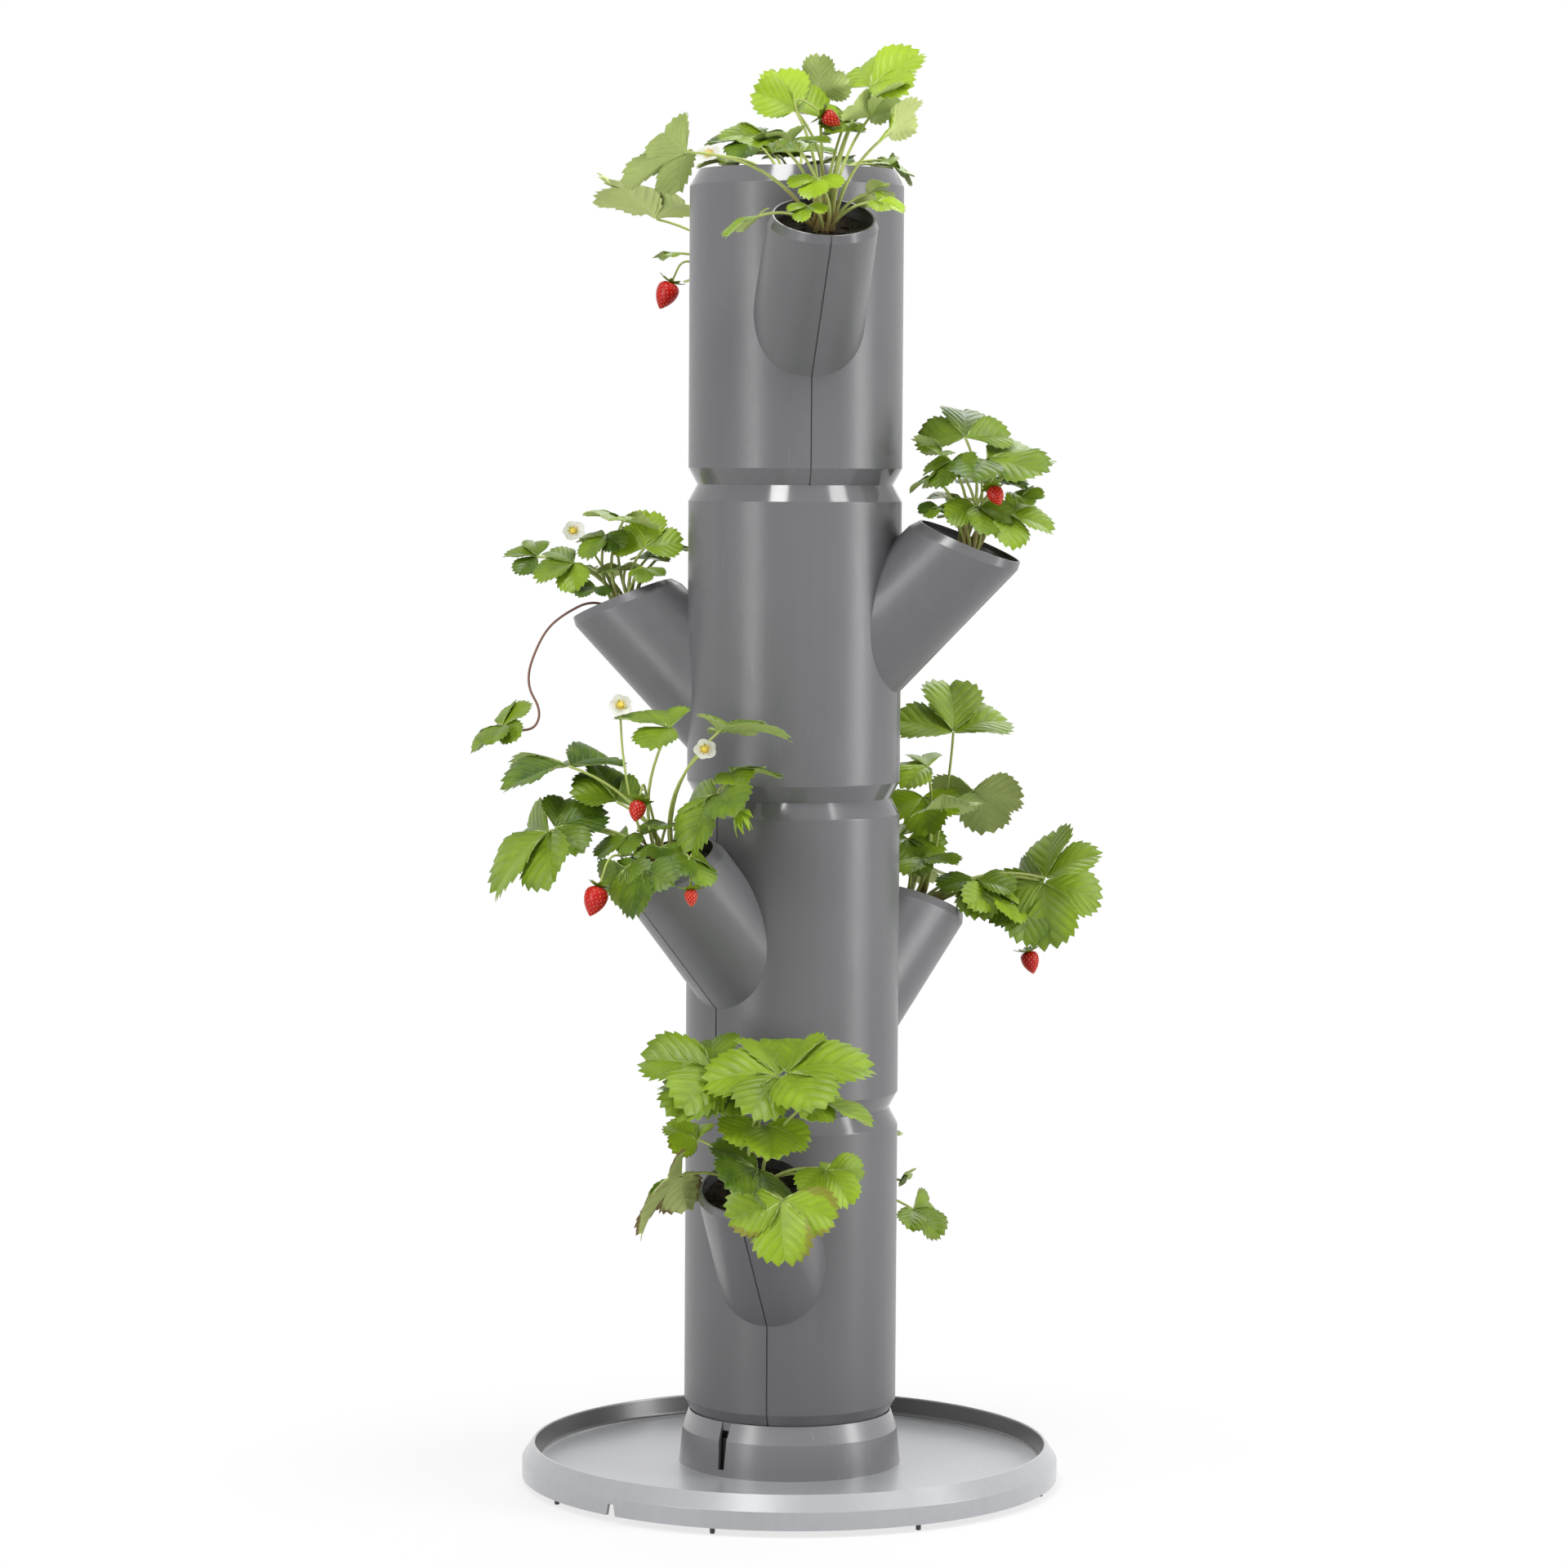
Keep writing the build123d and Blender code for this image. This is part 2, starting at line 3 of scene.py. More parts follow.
from __future__ import annotations

import functools
import json
import logging
import math
import random
from dataclasses import dataclass, field
from enum import Enum
from typing import Sequence

import bpy
import numpy as np
from mathutils import Matrix, Vector

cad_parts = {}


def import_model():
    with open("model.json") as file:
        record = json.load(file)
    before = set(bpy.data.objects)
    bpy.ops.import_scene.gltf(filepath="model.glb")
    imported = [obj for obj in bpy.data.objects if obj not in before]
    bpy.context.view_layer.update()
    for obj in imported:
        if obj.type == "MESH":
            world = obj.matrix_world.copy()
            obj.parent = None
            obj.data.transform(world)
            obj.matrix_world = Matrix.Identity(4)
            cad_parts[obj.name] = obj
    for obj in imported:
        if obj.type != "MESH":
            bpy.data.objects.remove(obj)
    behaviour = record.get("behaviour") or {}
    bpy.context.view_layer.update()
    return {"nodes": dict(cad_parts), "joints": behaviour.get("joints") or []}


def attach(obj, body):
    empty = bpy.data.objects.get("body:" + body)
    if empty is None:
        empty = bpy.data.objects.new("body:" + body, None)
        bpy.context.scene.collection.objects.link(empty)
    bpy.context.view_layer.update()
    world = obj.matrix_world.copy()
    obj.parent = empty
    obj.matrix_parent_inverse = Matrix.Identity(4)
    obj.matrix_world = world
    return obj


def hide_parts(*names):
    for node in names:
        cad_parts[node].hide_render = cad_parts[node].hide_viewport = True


Span = tuple[float, float]
Triple = tuple[float, float, float]
Colour = Triple
Stub = tuple[np.ndarray, np.ndarray]

LOG = logging.getLogger("strawberry_tower")
MM = 0.001
FULL_TURN = 2 * math.pi
UP = np.array((0.0, 0.0, 1.0))
STEEP = 0.9
CREASE_ANGLE = math.radians(55.0)
PLAIN_TONE: Triple = (0.5, 0.0, 0.0)
WHITE = (1.0, 1.0, 1.0, 1.0)


class Side(Enum):
    """Places in a storey where a plant grows."""

    HIGH = "high"
    LOW = "low"
    MOUTH = "mouth"


class MixSocket(Enum):
    """Numbers of a Mix node's sockets for colours."""

    FACTOR = 0
    FIRST = 6
    SECOND = 7
    RESULT = 2


class FoliageSlot(Enum):
    """Order of the finishes on a plant."""

    TOP = 0
    UNDER = 1
    STALK = 2
    CROWN = 3
    RUNNER = 4


class FruitSlot(Enum):
    """Order of the finishes on berries."""

    SKIN = 0
    SEED = 1


class BlossomSlot(Enum):
    """Order of the finishes on flowers."""

    PETAL = 0
    HEART = 1


class SoilSlot(Enum):
    """The one finish on loose soil."""

    SOIL = 0


# Shader kit


class Wire:
    """A value, vector or colour on its way through the nodes of a finish."""

    def __init__(self, graph: Graph, socket: bpy.types.NodeSocket) -> None:
        """Hold one output socket of a node."""
        self.graph = graph
        self.socket = socket

    def _math(self, operation: str, *terms: Wire | float) -> Wire:
        """Add one Math node for the given operation and terms."""
        return self.graph.node("ShaderNodeMath", {"operation": operation}, dict(enumerate(terms)))

    def __add__(self, other: Wire | float) -> Wire:
        """Sum."""
        return self._math("ADD", self, other)

    __radd__ = __add__

    def __sub__(self, other: Wire | float) -> Wire:
        """Difference."""
        return self._math("SUBTRACT", self, other)

    def __rsub__(self, other: float) -> Wire:
        """Difference from a number."""
        return self._math("SUBTRACT", other, self)

    def __mul__(self, other: Wire | float) -> Wire:
        """Product."""
        return self._math("MULTIPLY", self, other)

    __rmul__ = __mul__

    def fraction(self) -> Wire:
        """Part after the decimal point."""
        return self._math("FRACT", self)

    def size(self) -> Wire:
        """Value without its sign."""
        return self._math("ABSOLUTE", self)

    def most(self, other: Wire | float) -> Wire:
        """Larger of two values."""
        return self._math("MAXIMUM", self, other)

    def swing(self, width: float) -> Wire:
        """Noise around one half as a change to either side of 0, of this width in all."""
        return (self - 0.5) * width

    def ramp(self, low: float, high: float) -> Wire:
        """Smooth step from 0 to 1.

        Args:
            low: value at which the step is 0; it may be the larger one.
            high: value at which the step is 1.

        Returns:
            The step.
        """
        return self.graph.node(
            "ShaderNodeMapRange",
            {"interpolation_type": "SMOOTHSTEP"},
            {"Value": self, "From Min": low, "From Max": high},
        )

    def above(self, limit: float, edge: float) -> Wire:
        """1 above a limit and 0 below it, with a soft edge."""
        return self.ramp(limit - edge, limit + edge)

    def below(self, limit: float, edge: float) -> Wire:
        """1 below a limit and 0 above it, with a soft edge."""
        return self.ramp(limit + edge, limit - edge)


class Graph:
    """Node tree of one finish."""

    def __init__(self, tree: bpy.types.NodeTree) -> None:
        """Start from an empty tree."""
        self.tree = tree
        self.tree.nodes.clear()

    def add(
        self,
        kind: str,
        settings: dict[str, object] | None = None,
        inputs: dict[str | int, object] | None = None,
    ) -> bpy.types.Node:
        """Add a node.

        Args:
            kind: Blender's name of the node type.
            settings: the node's own settings, which are set first.
            inputs: values or wires for its sockets, by name or number.

        Returns:
            The node.
        """
        made = self.tree.nodes.new(kind)
        for key, value in (settings or {}).items():
            setattr(made, key, value)
        for key, value in (inputs or {}).items():
            if isinstance(value, Wire):
                self.tree.links.new(value.socket, made.inputs[key])
            else:
                made.inputs[key].default_value = value
        return made

    def node(
        self,
        kind: str,
        settings: dict[str, object] | None = None,
        inputs: dict[str | int, object] | None = None,
        output: str | int = 0,
    ) -> Wire:
        """Add a node and go on from one of its outputs.

        Args:
            kind: Blender's name of the node type.
            settings: the node's own settings.
            inputs: values or wires for its sockets, by name or number.
            output: name or number of the output.

        Returns:
            The wire from that output.
        """
        return Wire(self, self.add(kind, settings, inputs).outputs[output])

    def mix(self, factor: Wire | float, first: Wire | Colour, second: Wire | Colour) -> Wire:
        """Blend two colours.

        Args:
            factor: share of the second colour, from 0 to 1.
            first: the first colour.
            second: the second colour.

        Returns:
            The blend.
        """
        inputs: dict[str | int, object] = {MixSocket.FACTOR.value: factor}
        for socket, colour in ((MixSocket.FIRST, first), (MixSocket.SECOND, second)):
            inputs[socket.value] = colour if isinstance(colour, Wire) else (*colour, 1.0)
        return self.node("ShaderNodeMix", {"data_type": "RGBA"}, inputs, MixSocket.RESULT.value)

    def place(self) -> Wire:
        """Place on the object, in metres of the part's frame."""
        return self.node("ShaderNodeTexCoord", output="Object")

    def spot(self) -> tuple[Wire, Wire]:
        """The two surface coordinates of a form."""
        along, across, _ = self.split(self.node("ShaderNodeTexCoord", output="UV"))
        return along, across

    def stretched(self, where: Wire, scale: Triple) -> Wire:
        """Place scaled by a different number along each axis."""
        return self.node("ShaderNodeVectorMath", {"operation": "MULTIPLY"}, {0: where, 1: scale})

    def measure(self, operation: str, *vectors: Wire | Triple) -> Wire:
        """Number that comes from vectors, such as a length or a distance."""
        inputs = dict(enumerate(vectors))
        return self.node("ShaderNodeVectorMath", {"operation": operation}, inputs, "Value")

    def split(self, vector: Wire) -> tuple[Wire, ...]:
        """The three numbers of a vector."""
        parts = self.add("ShaderNodeSeparateXYZ", None, {0: vector}).outputs
        return tuple(Wire(self, part) for part in parts)

    def noise(self, where: Wire, scale: float, detail: float = 3.0) -> Wire:
        """Soft noise around one half."""
        return self.node("ShaderNodeTexNoise", None, {"Vector": where, "Scale": scale, "Detail": detail})

    def bump(self, height: Wire, strength: float, distance: float, under: Wire | None = None) -> Wire:
        """Raise the surface normal by a height.

        Args:
            height: the height, from 0 to 1.
            strength: share of the effect.
            distance: real height that 1 stands for, in metres.
            under: a normal to start from.

        Returns:
            The new normal.
        """
        inputs: dict[str | int, object] = {"Height": height, "Strength": strength, "Distance": distance}
        if under is not None:
            inputs["Normal"] = under
        return self.node("ShaderNodeBump", None, inputs)

    def surface(self, inputs: dict[str | int, object]) -> None:
        """Close the finish with one Principled shader."""
        self.close(self.node("ShaderNodeBsdfPrincipled", None, inputs))

    def close(self, shader: Wire, kind: str = "ShaderNodeOutputMaterial") -> None:
        """Lead a shader to the output of a material or a world."""
        self.add(kind, None, {"Surface": shader})


def new_finish(name: str) -> tuple[bpy.types.Material, Graph]:
    """Make an empty material.

    Args:
        name: the material's name.

    Returns:
        The material and the graph of its nodes.
    """
    material = bpy.data.materials.new(name)
    material.use_nodes = True
    return material, Graph(material.node_tree)


# Finishes


@dataclass(frozen=True)
class Rim:
    """Mouth of a pocket: its middle and the direction that it faces."""

    centre: Triple
    facing: Triple


@dataclass(frozen=True)
class Moulding:
    """Grey moulded plastic, grained on its walls and glossy on shoulders and rims."""

    name: str
    colour: Colour = (0.13, 0.13, 0.137)
    scuffed: Colour = (0.24, 0.24, 0.245)
    shades: Span = (0.86, 1.14)
    roughness: float = 0.34
    gloss: float = 0.13
    scuffed_gloss: float = 0.2
    rim_gloss: float = 0.26
    coat: float = 0.0
    coat_roughness: float = 0.2
    base: float = 0.0
    height: float = 0.0
    shoulder: float = 0.0115
    band: float = 0.0066
    band_reach: Span = (0.05, 0.045)
    edge: float = 0.0004
    rims: tuple[Rim, ...] = ()
    cloud_scale: float = 14.0
    cloud_share: float = 0.6
    cloud_sheen: float = 0.1
    mottle_scale: float = 420.0
    mottle_sheen: float = 0.2
    streak_sheen: float = 0.08
    streak_stretch: Triple = (130.0, 130.0, 5.0)
    scuff_stretch: Triple = (260.0, 260.0, 34.0)
    scuff_line: Span = (0.66, 0.8)
    scuff_share: float = 0.22
    patch_scale: float = 9.0
    patch_line: Span = (0.5, 0.7)
    speck_scale: float = 700.0
    speck_line: Span = (0.72, 0.84)
    speck_share: float = 0.1
    grain_scale: float = 1500.0
    grain: float = 0.12
    grain_depth: float = 0.0006
    wave_scale: float = 26.0
    wave: float = 0.12
    wave_depth: float = 0.004

    def rim_band(self, graph: Graph, place: Wire, rim: Rim) -> Wire:
        """Mask of the band round one mouth.

        Args:
            graph: nodes of the finish.
            place: place on the object.
            rim: the mouth.

        Returns:
            The mask.
        """
        start = float(np.dot(rim.centre, rim.facing)) - self.band
        near = graph.measure("DISTANCE", place, rim.centre).ramp(*self.band_reach)
        return graph.measure("DOT_PRODUCT", place, rim.facing).above(start, self.edge) * near

    def smooth_places(self, graph: Graph, place: Wire) -> tuple[Wire, Wire]:
        """Masks of the shoulders at a storey's ends and of the bands round its mouths.

        Args:
            graph: nodes of the finish.
            place: place on the object.

        Returns:
            The two masks.
        """
        level = graph.split(place)[2]
        from_middle = (level - (self.base + self.height / 2)).size()
        shoulders = from_middle.above(self.height / 2 - self.shoulder, self.edge)
        bands = (self.rim_band(graph, place, rim) for rim in self.rims)
        return shoulders, functools.reduce(Wire.most, bands)

    def wear(self, graph: Graph, place: Wire) -> Wire:
        """Wear of the plastic: patches of fine upright scuffs, and specks.

        Args:
            graph: nodes of the finish.
            place: place on the object.

        Returns:
            The share of worn plastic.
        """
        scuff = graph.noise(graph.stretched(place, self.scuff_stretch), 1.0, 1.0).ramp(*self.scuff_line)
        patch = graph.noise(place, self.patch_scale).ramp(*self.patch_line)
        speck = graph.noise(place, self.speck_scale, 1.0).ramp(*self.speck_line)
        return scuff * patch * self.scuff_share + speck * self.speck_share

    def with_painted_shade(self, graph: Graph, place: Wire, colour: Wire) -> Wire:
        """Colour of the plastic with painted shade on any part that needs it; the plain plastic gets none.
        """
        return colour

    def make(self) -> bpy.types.Material:
        """Make this plastic.

        Returns:
            The material.
        """
        material, graph = new_finish(self.name)
        place = graph.place()
        cloud = graph.noise(place, self.cloud_scale)
        streak = graph.noise(graph.stretched(place, self.streak_stretch), 1.0)
        mottle = graph.noise(place, self.mottle_scale, 2.0)
        worn = self.wear(graph, place)
        darker, lighter = (tuple(level * part for part in self.colour) for level in self.shades)
        shade = cloud * self.cloud_share + streak * (1 - self.cloud_share)
        body = graph.mix(shade, darker, lighter)
        # the tray's finish paints shade into the colour here, and scuffs go over it
        colour = graph.mix(worn, self.with_painted_shade(graph, place, body), self.scuffed)
        roughness = self.roughness + cloud.swing(self.cloud_sheen)
        roughness = roughness + streak.swing(self.streak_sheen) + mottle.swing(self.mottle_sheen)
        grain = graph.noise(place, self.grain_scale, 2.0)
        if self.height > 0:
            shoulders, bands = self.smooth_places(graph, place)
            wall = 1 - shoulders.most(bands)
            glossy = shoulders * (self.gloss + worn * self.scuffed_gloss) + bands * self.rim_gloss
            roughness = roughness * wall + glossy
            grain = grain * wall
        wave = graph.noise(place, self.wave_scale, 1.0)
        grained = graph.bump(grain, self.grain, self.grain_depth)
        graph.surface(
            {
                "Base Color": colour,
                "Roughness": roughness,
                "Normal": graph.bump(wave, self.wave, self.wave_depth, grained),
                "Coat Weight": self.coat,
                "Coat Roughness": self.coat_roughness,
            }
        )
        return material


@dataclass(frozen=True)
class TrayMoulding(Moulding):
    """Paler plastic of the tray, with painted shade darkening the collar in its middle and the wall inside
    its rim.
    """

    # painted shade: a darker grey for the collar under the tower, and near-black for the inner wall of the
    # rim
    collar_shade: Colour = (0.19, 0.19, 0.2)
    wall_shade: Colour = (0.03, 0.03, 0.033)
    collar_radius: float = 0.0788
    floor_level: float = 0.0146
    rim_level: float = 0.0272
    wall_radius: float = 0.1768
    rim_radius: float = 0.182
    shade_edge: float = 0.0003
    rim_edge: float = 0.0002

    def with_painted_shade(self, graph: Graph, place: Wire, colour: Wire) -> Wire:
        """Paint shade on the tray's collar and on the inner wall of its rim.

        Args:
            graph: nodes of the finish.
            place: place on the object.
            colour: colour of the plastic.

        Returns:
            The colour of the tray, with its painted shade.
        """
        level = graph.split(place)[2]
        reach = graph.measure("LENGTH", graph.stretched(place, (1.0, 1.0, 0.0)))
        over_floor = level.above(self.floor_level, self.shade_edge)
        # mask of the collar, where painted shade darkens the plastic
        collar = over_floor * reach.below(self.collar_radius, self.shade_edge)
        under_rim = level.below(self.rim_level, self.shade_edge)
        shaded_wall = reach.above(self.wall_radius, self.shade_edge)
        shaded_wall = shaded_wall * reach.below(self.rim_radius, self.rim_edge)
        # paint the shade: darker collar first, then the near-black inner rim wall
        collar_shaded = graph.mix(collar, colour, self.collar_shade)
        return graph.mix(over_floor * under_rim * shaded_wall, collar_shaded, self.wall_shade)


@dataclass(frozen=True)
class LeafFace:
    """One side of a leaf: veins to the teeth, swellings between them with painted light on them and painted
    shade in the creases, and a browned edge where wilted.
    """

    name: str
    # the tone mixes shaded and bright: the leaf's own darker and paler green, and also painted shade and
    # painted light
    shaded: Colour
    bright: Colour
    vein: Colour
    browned: Colour = (0.16, 0.045, 0.02)
    roughness: float = 0.4
    gloss: float = 0.36
    vein_share: float = 0.15
    net_share: float = 0.05
    wander: float = 0.3
    swell: float = 1.0
    rise: float = 0.42
    depth: float = 0.0007
    cloud_scale: float = 45.0
    cloud_light: float = 0.7
    cloud_sheen: float = 0.2
    swell_painted_shade: float = 0.1
    fine_light: float = 0.1
    wilt_wander: float = 1.8
    net_scale: float = 420.0
    fine_scale: float = 500.0
    midrib: Span = (0.075, 0.015)
    side_vein: Span = (0.15, 0.03)
    net_line: Span = (0.16, 0.0)
    wilted_rim: Span = (0.82, 1.06)
    vein_fade: Span = (1.05, 0.5)
    swell_off_vein: Span = (0.03, 0.4)
    swell_off_rib: Span = (0.03, 0.3)
    swell_fade: Span = (1.1, 0.75)
    vein_dip: float = 0.5
    fine_rise: float = 0.05

    def make(self) -> bpy.types.Material:
        """Make this side of a leaf.

        Returns:
            The material.
        """
        material, graph = new_finish(self.name)
        place = graph.place()
        along, across = graph.spot()
        marks = graph.node("ShaderNodeAttribute", {"attribute_name": "tone"}, None, "Color")
        tone, wilt, relief = graph.split(marks)
        from_rib = across.size()
        cloud = graph.noise(place, self.cloud_scale)
        fine = graph.noise(place, self.fine_scale, 2.0)
        off_vein = ((along + cloud.swing(self.wander) + 0.5).fraction() - 0.5).size()
        side_veins = off_vein.ramp(*self.side_vein) * from_rib.ramp(*self.vein_fade)
        veins = side_veins.most(from_rib.ramp(*self.midrib))
        between = off_vein.ramp(*self.swell_off_vein)
        swollen = between * from_rib.ramp(*self.swell_off_rib) * from_rib.ramp(*self.swell_fade)
        cells = graph.node(
            "ShaderNodeTexVoronoi",
            {"feature": "DISTANCE_TO_EDGE"},
            {"Vector": place, "Scale": self.net_scale},
        )
        light = tone + cloud.swing(self.cloud_light)
        # painted light on the swellings between the veins and painted shade in the creases beside them
        light = light + swollen.swing(self.swell_painted_shade) + fine.swing(self.fine_light)
        body = graph.mix(light, self.shaded, self.bright)
        netted = graph.mix(cells.ramp(*self.net_line) * self.net_share, body, self.vein)
        veined = graph.mix(veins * self.vein_share, netted, self.vein)
        dry = (from_rib + cloud.swing(self.wilt_wander)).ramp(*self.wilted_rim) * wilt
        height = (swollen - veins * self.vein_dip) * relief * self.swell + fine * self.fine_rise
        graph.surface(
            {
                "Base Color": graph.mix(dry, veined, self.browned),
                "Roughness": self.roughness + cloud.swing(self.cloud_sheen),
                "Normal": graph.bump(height, self.rise, self.depth),
                "Specular IOR Level": self.gloss,
            }
        )
        return material


@dataclass(frozen=True)
class Stem:
    """Stalk or runner, blushed at its foot."""

    name: str
    young: Colour = (0.42, 0.5, 0.13)
    blushed: Colour = (0.32, 0.2, 0.08)
    roughness: float = 0.5
    cloud_scale: float = 120.0
    blush_span: Span = (0.4, 0.02)
    blush_wander: float = 0.7
    blush_share: float = 0.8
    fibre_share: float = 0.2
    fibre_sheen: float = 0.25
    fibre_stretch: Triple = (900.0, 900.0, 120.0)
    fibre_rise: float = 0.3
    fibre_depth: float = 0.0003
    glow: float = 0.1
    glow_reach: Triple = (0.002, 0.002, 0.001)

    def make(self) -> bpy.types.Material:
        """Make this stem's finish.

        Returns:
            The material.
        """
        material, graph = new_finish(self.name)
        place = graph.place()
        along, _ = graph.spot()
        cloud = graph.noise(place, self.cloud_scale)
        fibre = graph.noise(graph.stretched(place, self.fibre_stretch), 1.0, 2.0)
        blush = (along + cloud.swing(self.blush_wander)).ramp(*self.blush_span)
        share = blush * self.blush_share + fibre.swing(self.fibre_share)
        graph.surface(
            {
                "Base Color": graph.mix(share, self.young, self.blushed),
                "Roughness": self.roughness + fibre.swing(self.fibre_sheen),
                "Normal": graph.bump(fibre, self.fibre_rise, self.fibre_depth),
                "Subsurface Weight": self.glow,
                "Subsurface Radius": self.glow_reach,
            }
        )
        return material


@dataclass(frozen=True)
class BerrySkin:
    """Ripe skin, paler under the calyx."""

    name: str = "berry_skin"
    ripe: Colour = (0.6, 0.008, 0.008)
    deep: Colour = (0.4, 0.003, 0.006)
    pale: Colour = (0.72, 0.12, 0.05)
    pale_share: float = 0.7
    pale_reach: float = 0.16
    pale_wander: float = 0.2
    roughness: float = 0.26
    gloss: float = 0.25
    coat: float = 0.08
    coat_roughness: float = 0.12
    cloud_scale: float = 150.0
    cloud_sheen: float = 0.16
    pore_scale: float = 1600.0
    pore_rise: float = 0.2
    pore_depth: float = 0.0003
    glow: float = 0.2
    glow_reach: Triple = (0.004, 0.001, 0.0008)

    def make(self) -> bpy.types.Material:
        """Make the skin.

        Returns:
            The material.
        """
        material, graph = new_finish(self.name)
        place = graph.place()
        along, _ = graph.spot()
        cloud = graph.noise(place, self.cloud_scale)
        pores = graph.noise(place, self.pore_scale, 1.0)
        flesh = graph.mix(cloud, self.deep, self.ripe)
        shoulder = (along + cloud.swing(self.pale_wander)).ramp(self.pale_reach, 0.0)
        graph.surface(
            {
                "Base Color": graph.mix(shoulder * self.pale_share, flesh, self.pale),
                "Roughness": self.roughness + cloud * self.cloud_sheen,
                "Normal": graph.bump(pores, self.pore_rise, self.pore_depth),
                "Subsurface Weight": self.glow,
                "Subsurface Radius": self.glow_reach,
                "Coat Weight": self.coat,
                "Coat Roughness": self.coat_roughness,
                "Specular IOR Level": self.gloss,
            }
        )
        return material


@dataclass(frozen=True)
class Flecked:
    """Soft natural surface of two mingled colours."""

    name: str
    first: Colour
    second: Colour
    scale: float
    roughness: float
    rise: float
    depth: float
    detail: float = 5.0
    fineness: float = 6.0
    coarse_share: float = 0.65
    mingling: Span = (0.36, 0.66)
    fine_sheen: float = 0.15
    fine_rise: float = 0.5

    def make(self) -> bpy.types.Material:
        """Make this surface.

        Returns:
            The material.
        """
        material, graph = new_finish(self.name)
        place = graph.place()
        coarse = graph.noise(place, self.scale, self.detail)
        fine = graph.noise(place, self.scale * self.fineness)
        mingled = coarse * self.coarse_share + fine * (1 - self.coarse_share)
        graph.surface(
            {
                "Base Color": graph.mix(mingled.ramp(*self.mingling), self.first, self.second),
                "Roughness": self.roughness + fine.swing(self.fine_sheen),
                "Normal": graph.bump(coarse + fine * self.fine_rise, self.rise, self.depth),
            }
        )
        return material


class Palette:
    """Finishes that more than one piece of the planter shares."""

    def __init__(self) -> None:
        """Make each finish once."""
        # leaf greens run from a shaded to a bright colour: own green together with painted light and shade
        self.leaf_top = LeafFace(
            "leaf_top",
            shaded=(0.032, 0.078, 0.003),
            bright=(0.35, 0.52, 0.018),
            vein=(0.36, 0.5, 0.07),
        ).make()
        self.leaf_under = LeafFace(
            "leaf_under",
            shaded=(0.27, 0.37, 0.09),
            bright=(0.6, 0.7, 0.24),
            vein=(0.72, 0.8, 0.4),
            roughness=0.6,
            swell=-1.0,
        ).make()
        self.stalk = Stem("stalk").make()
        self.runner = Stem("runner_stem", young=(0.25, 0.12, 0.08), blushed=(0.12, 0.03, 0.025)).make()
        self.crown = Flecked(
            "crown", (0.16, 0.09, 0.04), (0.3, 0.3, 0.1),
            scale=160.0, roughness=0.8, rise=0.6, depth=0.001,
        ).make()
        self.berry = BerrySkin().make()
        self.seed = Flecked(
            "seed", (0.5, 0.26, 0.06), (0.66, 0.42, 0.12),
            scale=500.0, roughness=0.4, rise=0.1, depth=0.0002,
        ).make()
        self.petal = Flecked(
            "petal", (0.6, 0.61, 0.53), (0.74, 0.74, 0.69),
            scale=160.0, roughness=0.6, rise=0.15, depth=0.0003,
        ).make()
        self.flower_heart = Flecked(
            "flower_heart", (0.72, 0.5, 0.04), (0.85, 0.7, 0.12),
            scale=900.0, roughness=0.7, rise=0.7, depth=0.0006,
        ).make()
        self.soil = Flecked(
            "soil", (0.012, 0.008, 0.005), (0.07, 0.045, 0.028),
            scale=240.0, roughness=0.95, rise=1.0, depth=0.003,
        ).make()


# Mesh kit


def unit(vector: np.ndarray) -> np.ndarray:
    """Vector of the same direction and length 1."""
    return vector / np.linalg.norm(vector)


def square_to(direction: np.ndarray) -> np.ndarray:
    """Some unit vector square to a direction."""
    other = UP if abs(direction[2]) < STEEP else np.array((1.0, 0.0, 0.0))
    return unit(np.cross(direction, other))


def turned_about(vector: np.ndarray, axis: np.ndarray, degrees: float) -> np.ndarray:
    """Vector turned about an axis by the right-hand rule."""
    return np.array(Matrix.Rotation(math.radians(degrees), 3, Vector(axis)) @ Vector(vector))


def steps_round(sides: int) -> np.ndarray:
    """Angles of even steps round a circle."""
    return np.linspace(0.0, FULL_TURN, sides, endpoint=False)


def circle(sides: int, first: np.ndarray, second: np.ndarray) -> np.ndarray:
    """Even steps round a circle that starts at one vector and turns towards another."""
    spin = steps_round(sides)
    return np.outer(np.cos(spin), first) + np.outer(np.sin(spin), second)


def drawn(low: np.ndarray, handle: np.ndarray, high: np.ndarray, share: np.ndarray) -> np.ndarray:
    """Points of a bend from one place to another, drawn towards a handle."""
    return (1 - share) ** 2 * low + 2 * share * (1 - share) * handle + share**2 * high


def laid(
    origin: np.ndarray, size: float, shares: Sequence[np.ndarray], directions: Sequence[np.ndarray]
) -> np.ndarray:
    """Lay the points of a sheet out in space.

    Args:
        origin: where the sheet starts.
        size: length that the shares are of.
        shares: shares along each direction, by row and column.
        directions: the directions.

    Returns:
        The places, by row and column.
    """
    return origin + size * sum(share[..., None] * way for share, way in zip(shares, directions))


def bowed(start: np.ndarray, end: np.ndarray, outward: np.ndarray, steps: int = 13) -> np.ndarray:
    """Points of an arc from a crown to a stalk's end, bowed upward and outward.

    Args:
        start: place in the crown.
        end: end of the stalk.
        outward: direction away from the tower.
        steps: number of points.

    Returns:
        The points, one row each.
    """
    bow = 0.14
    lean = 0.4
    chord = end - start
    lift = UP + outward * lean
    lift = unit(lift - chord * (np.dot(lift, chord) / np.dot(chord, chord)))
    handle = start + chord / 2 + lift * (2 * bow * np.linalg.norm(chord))
    return drawn(start, handle, end, np.linspace(0.0, 1.0, steps)[:, None])


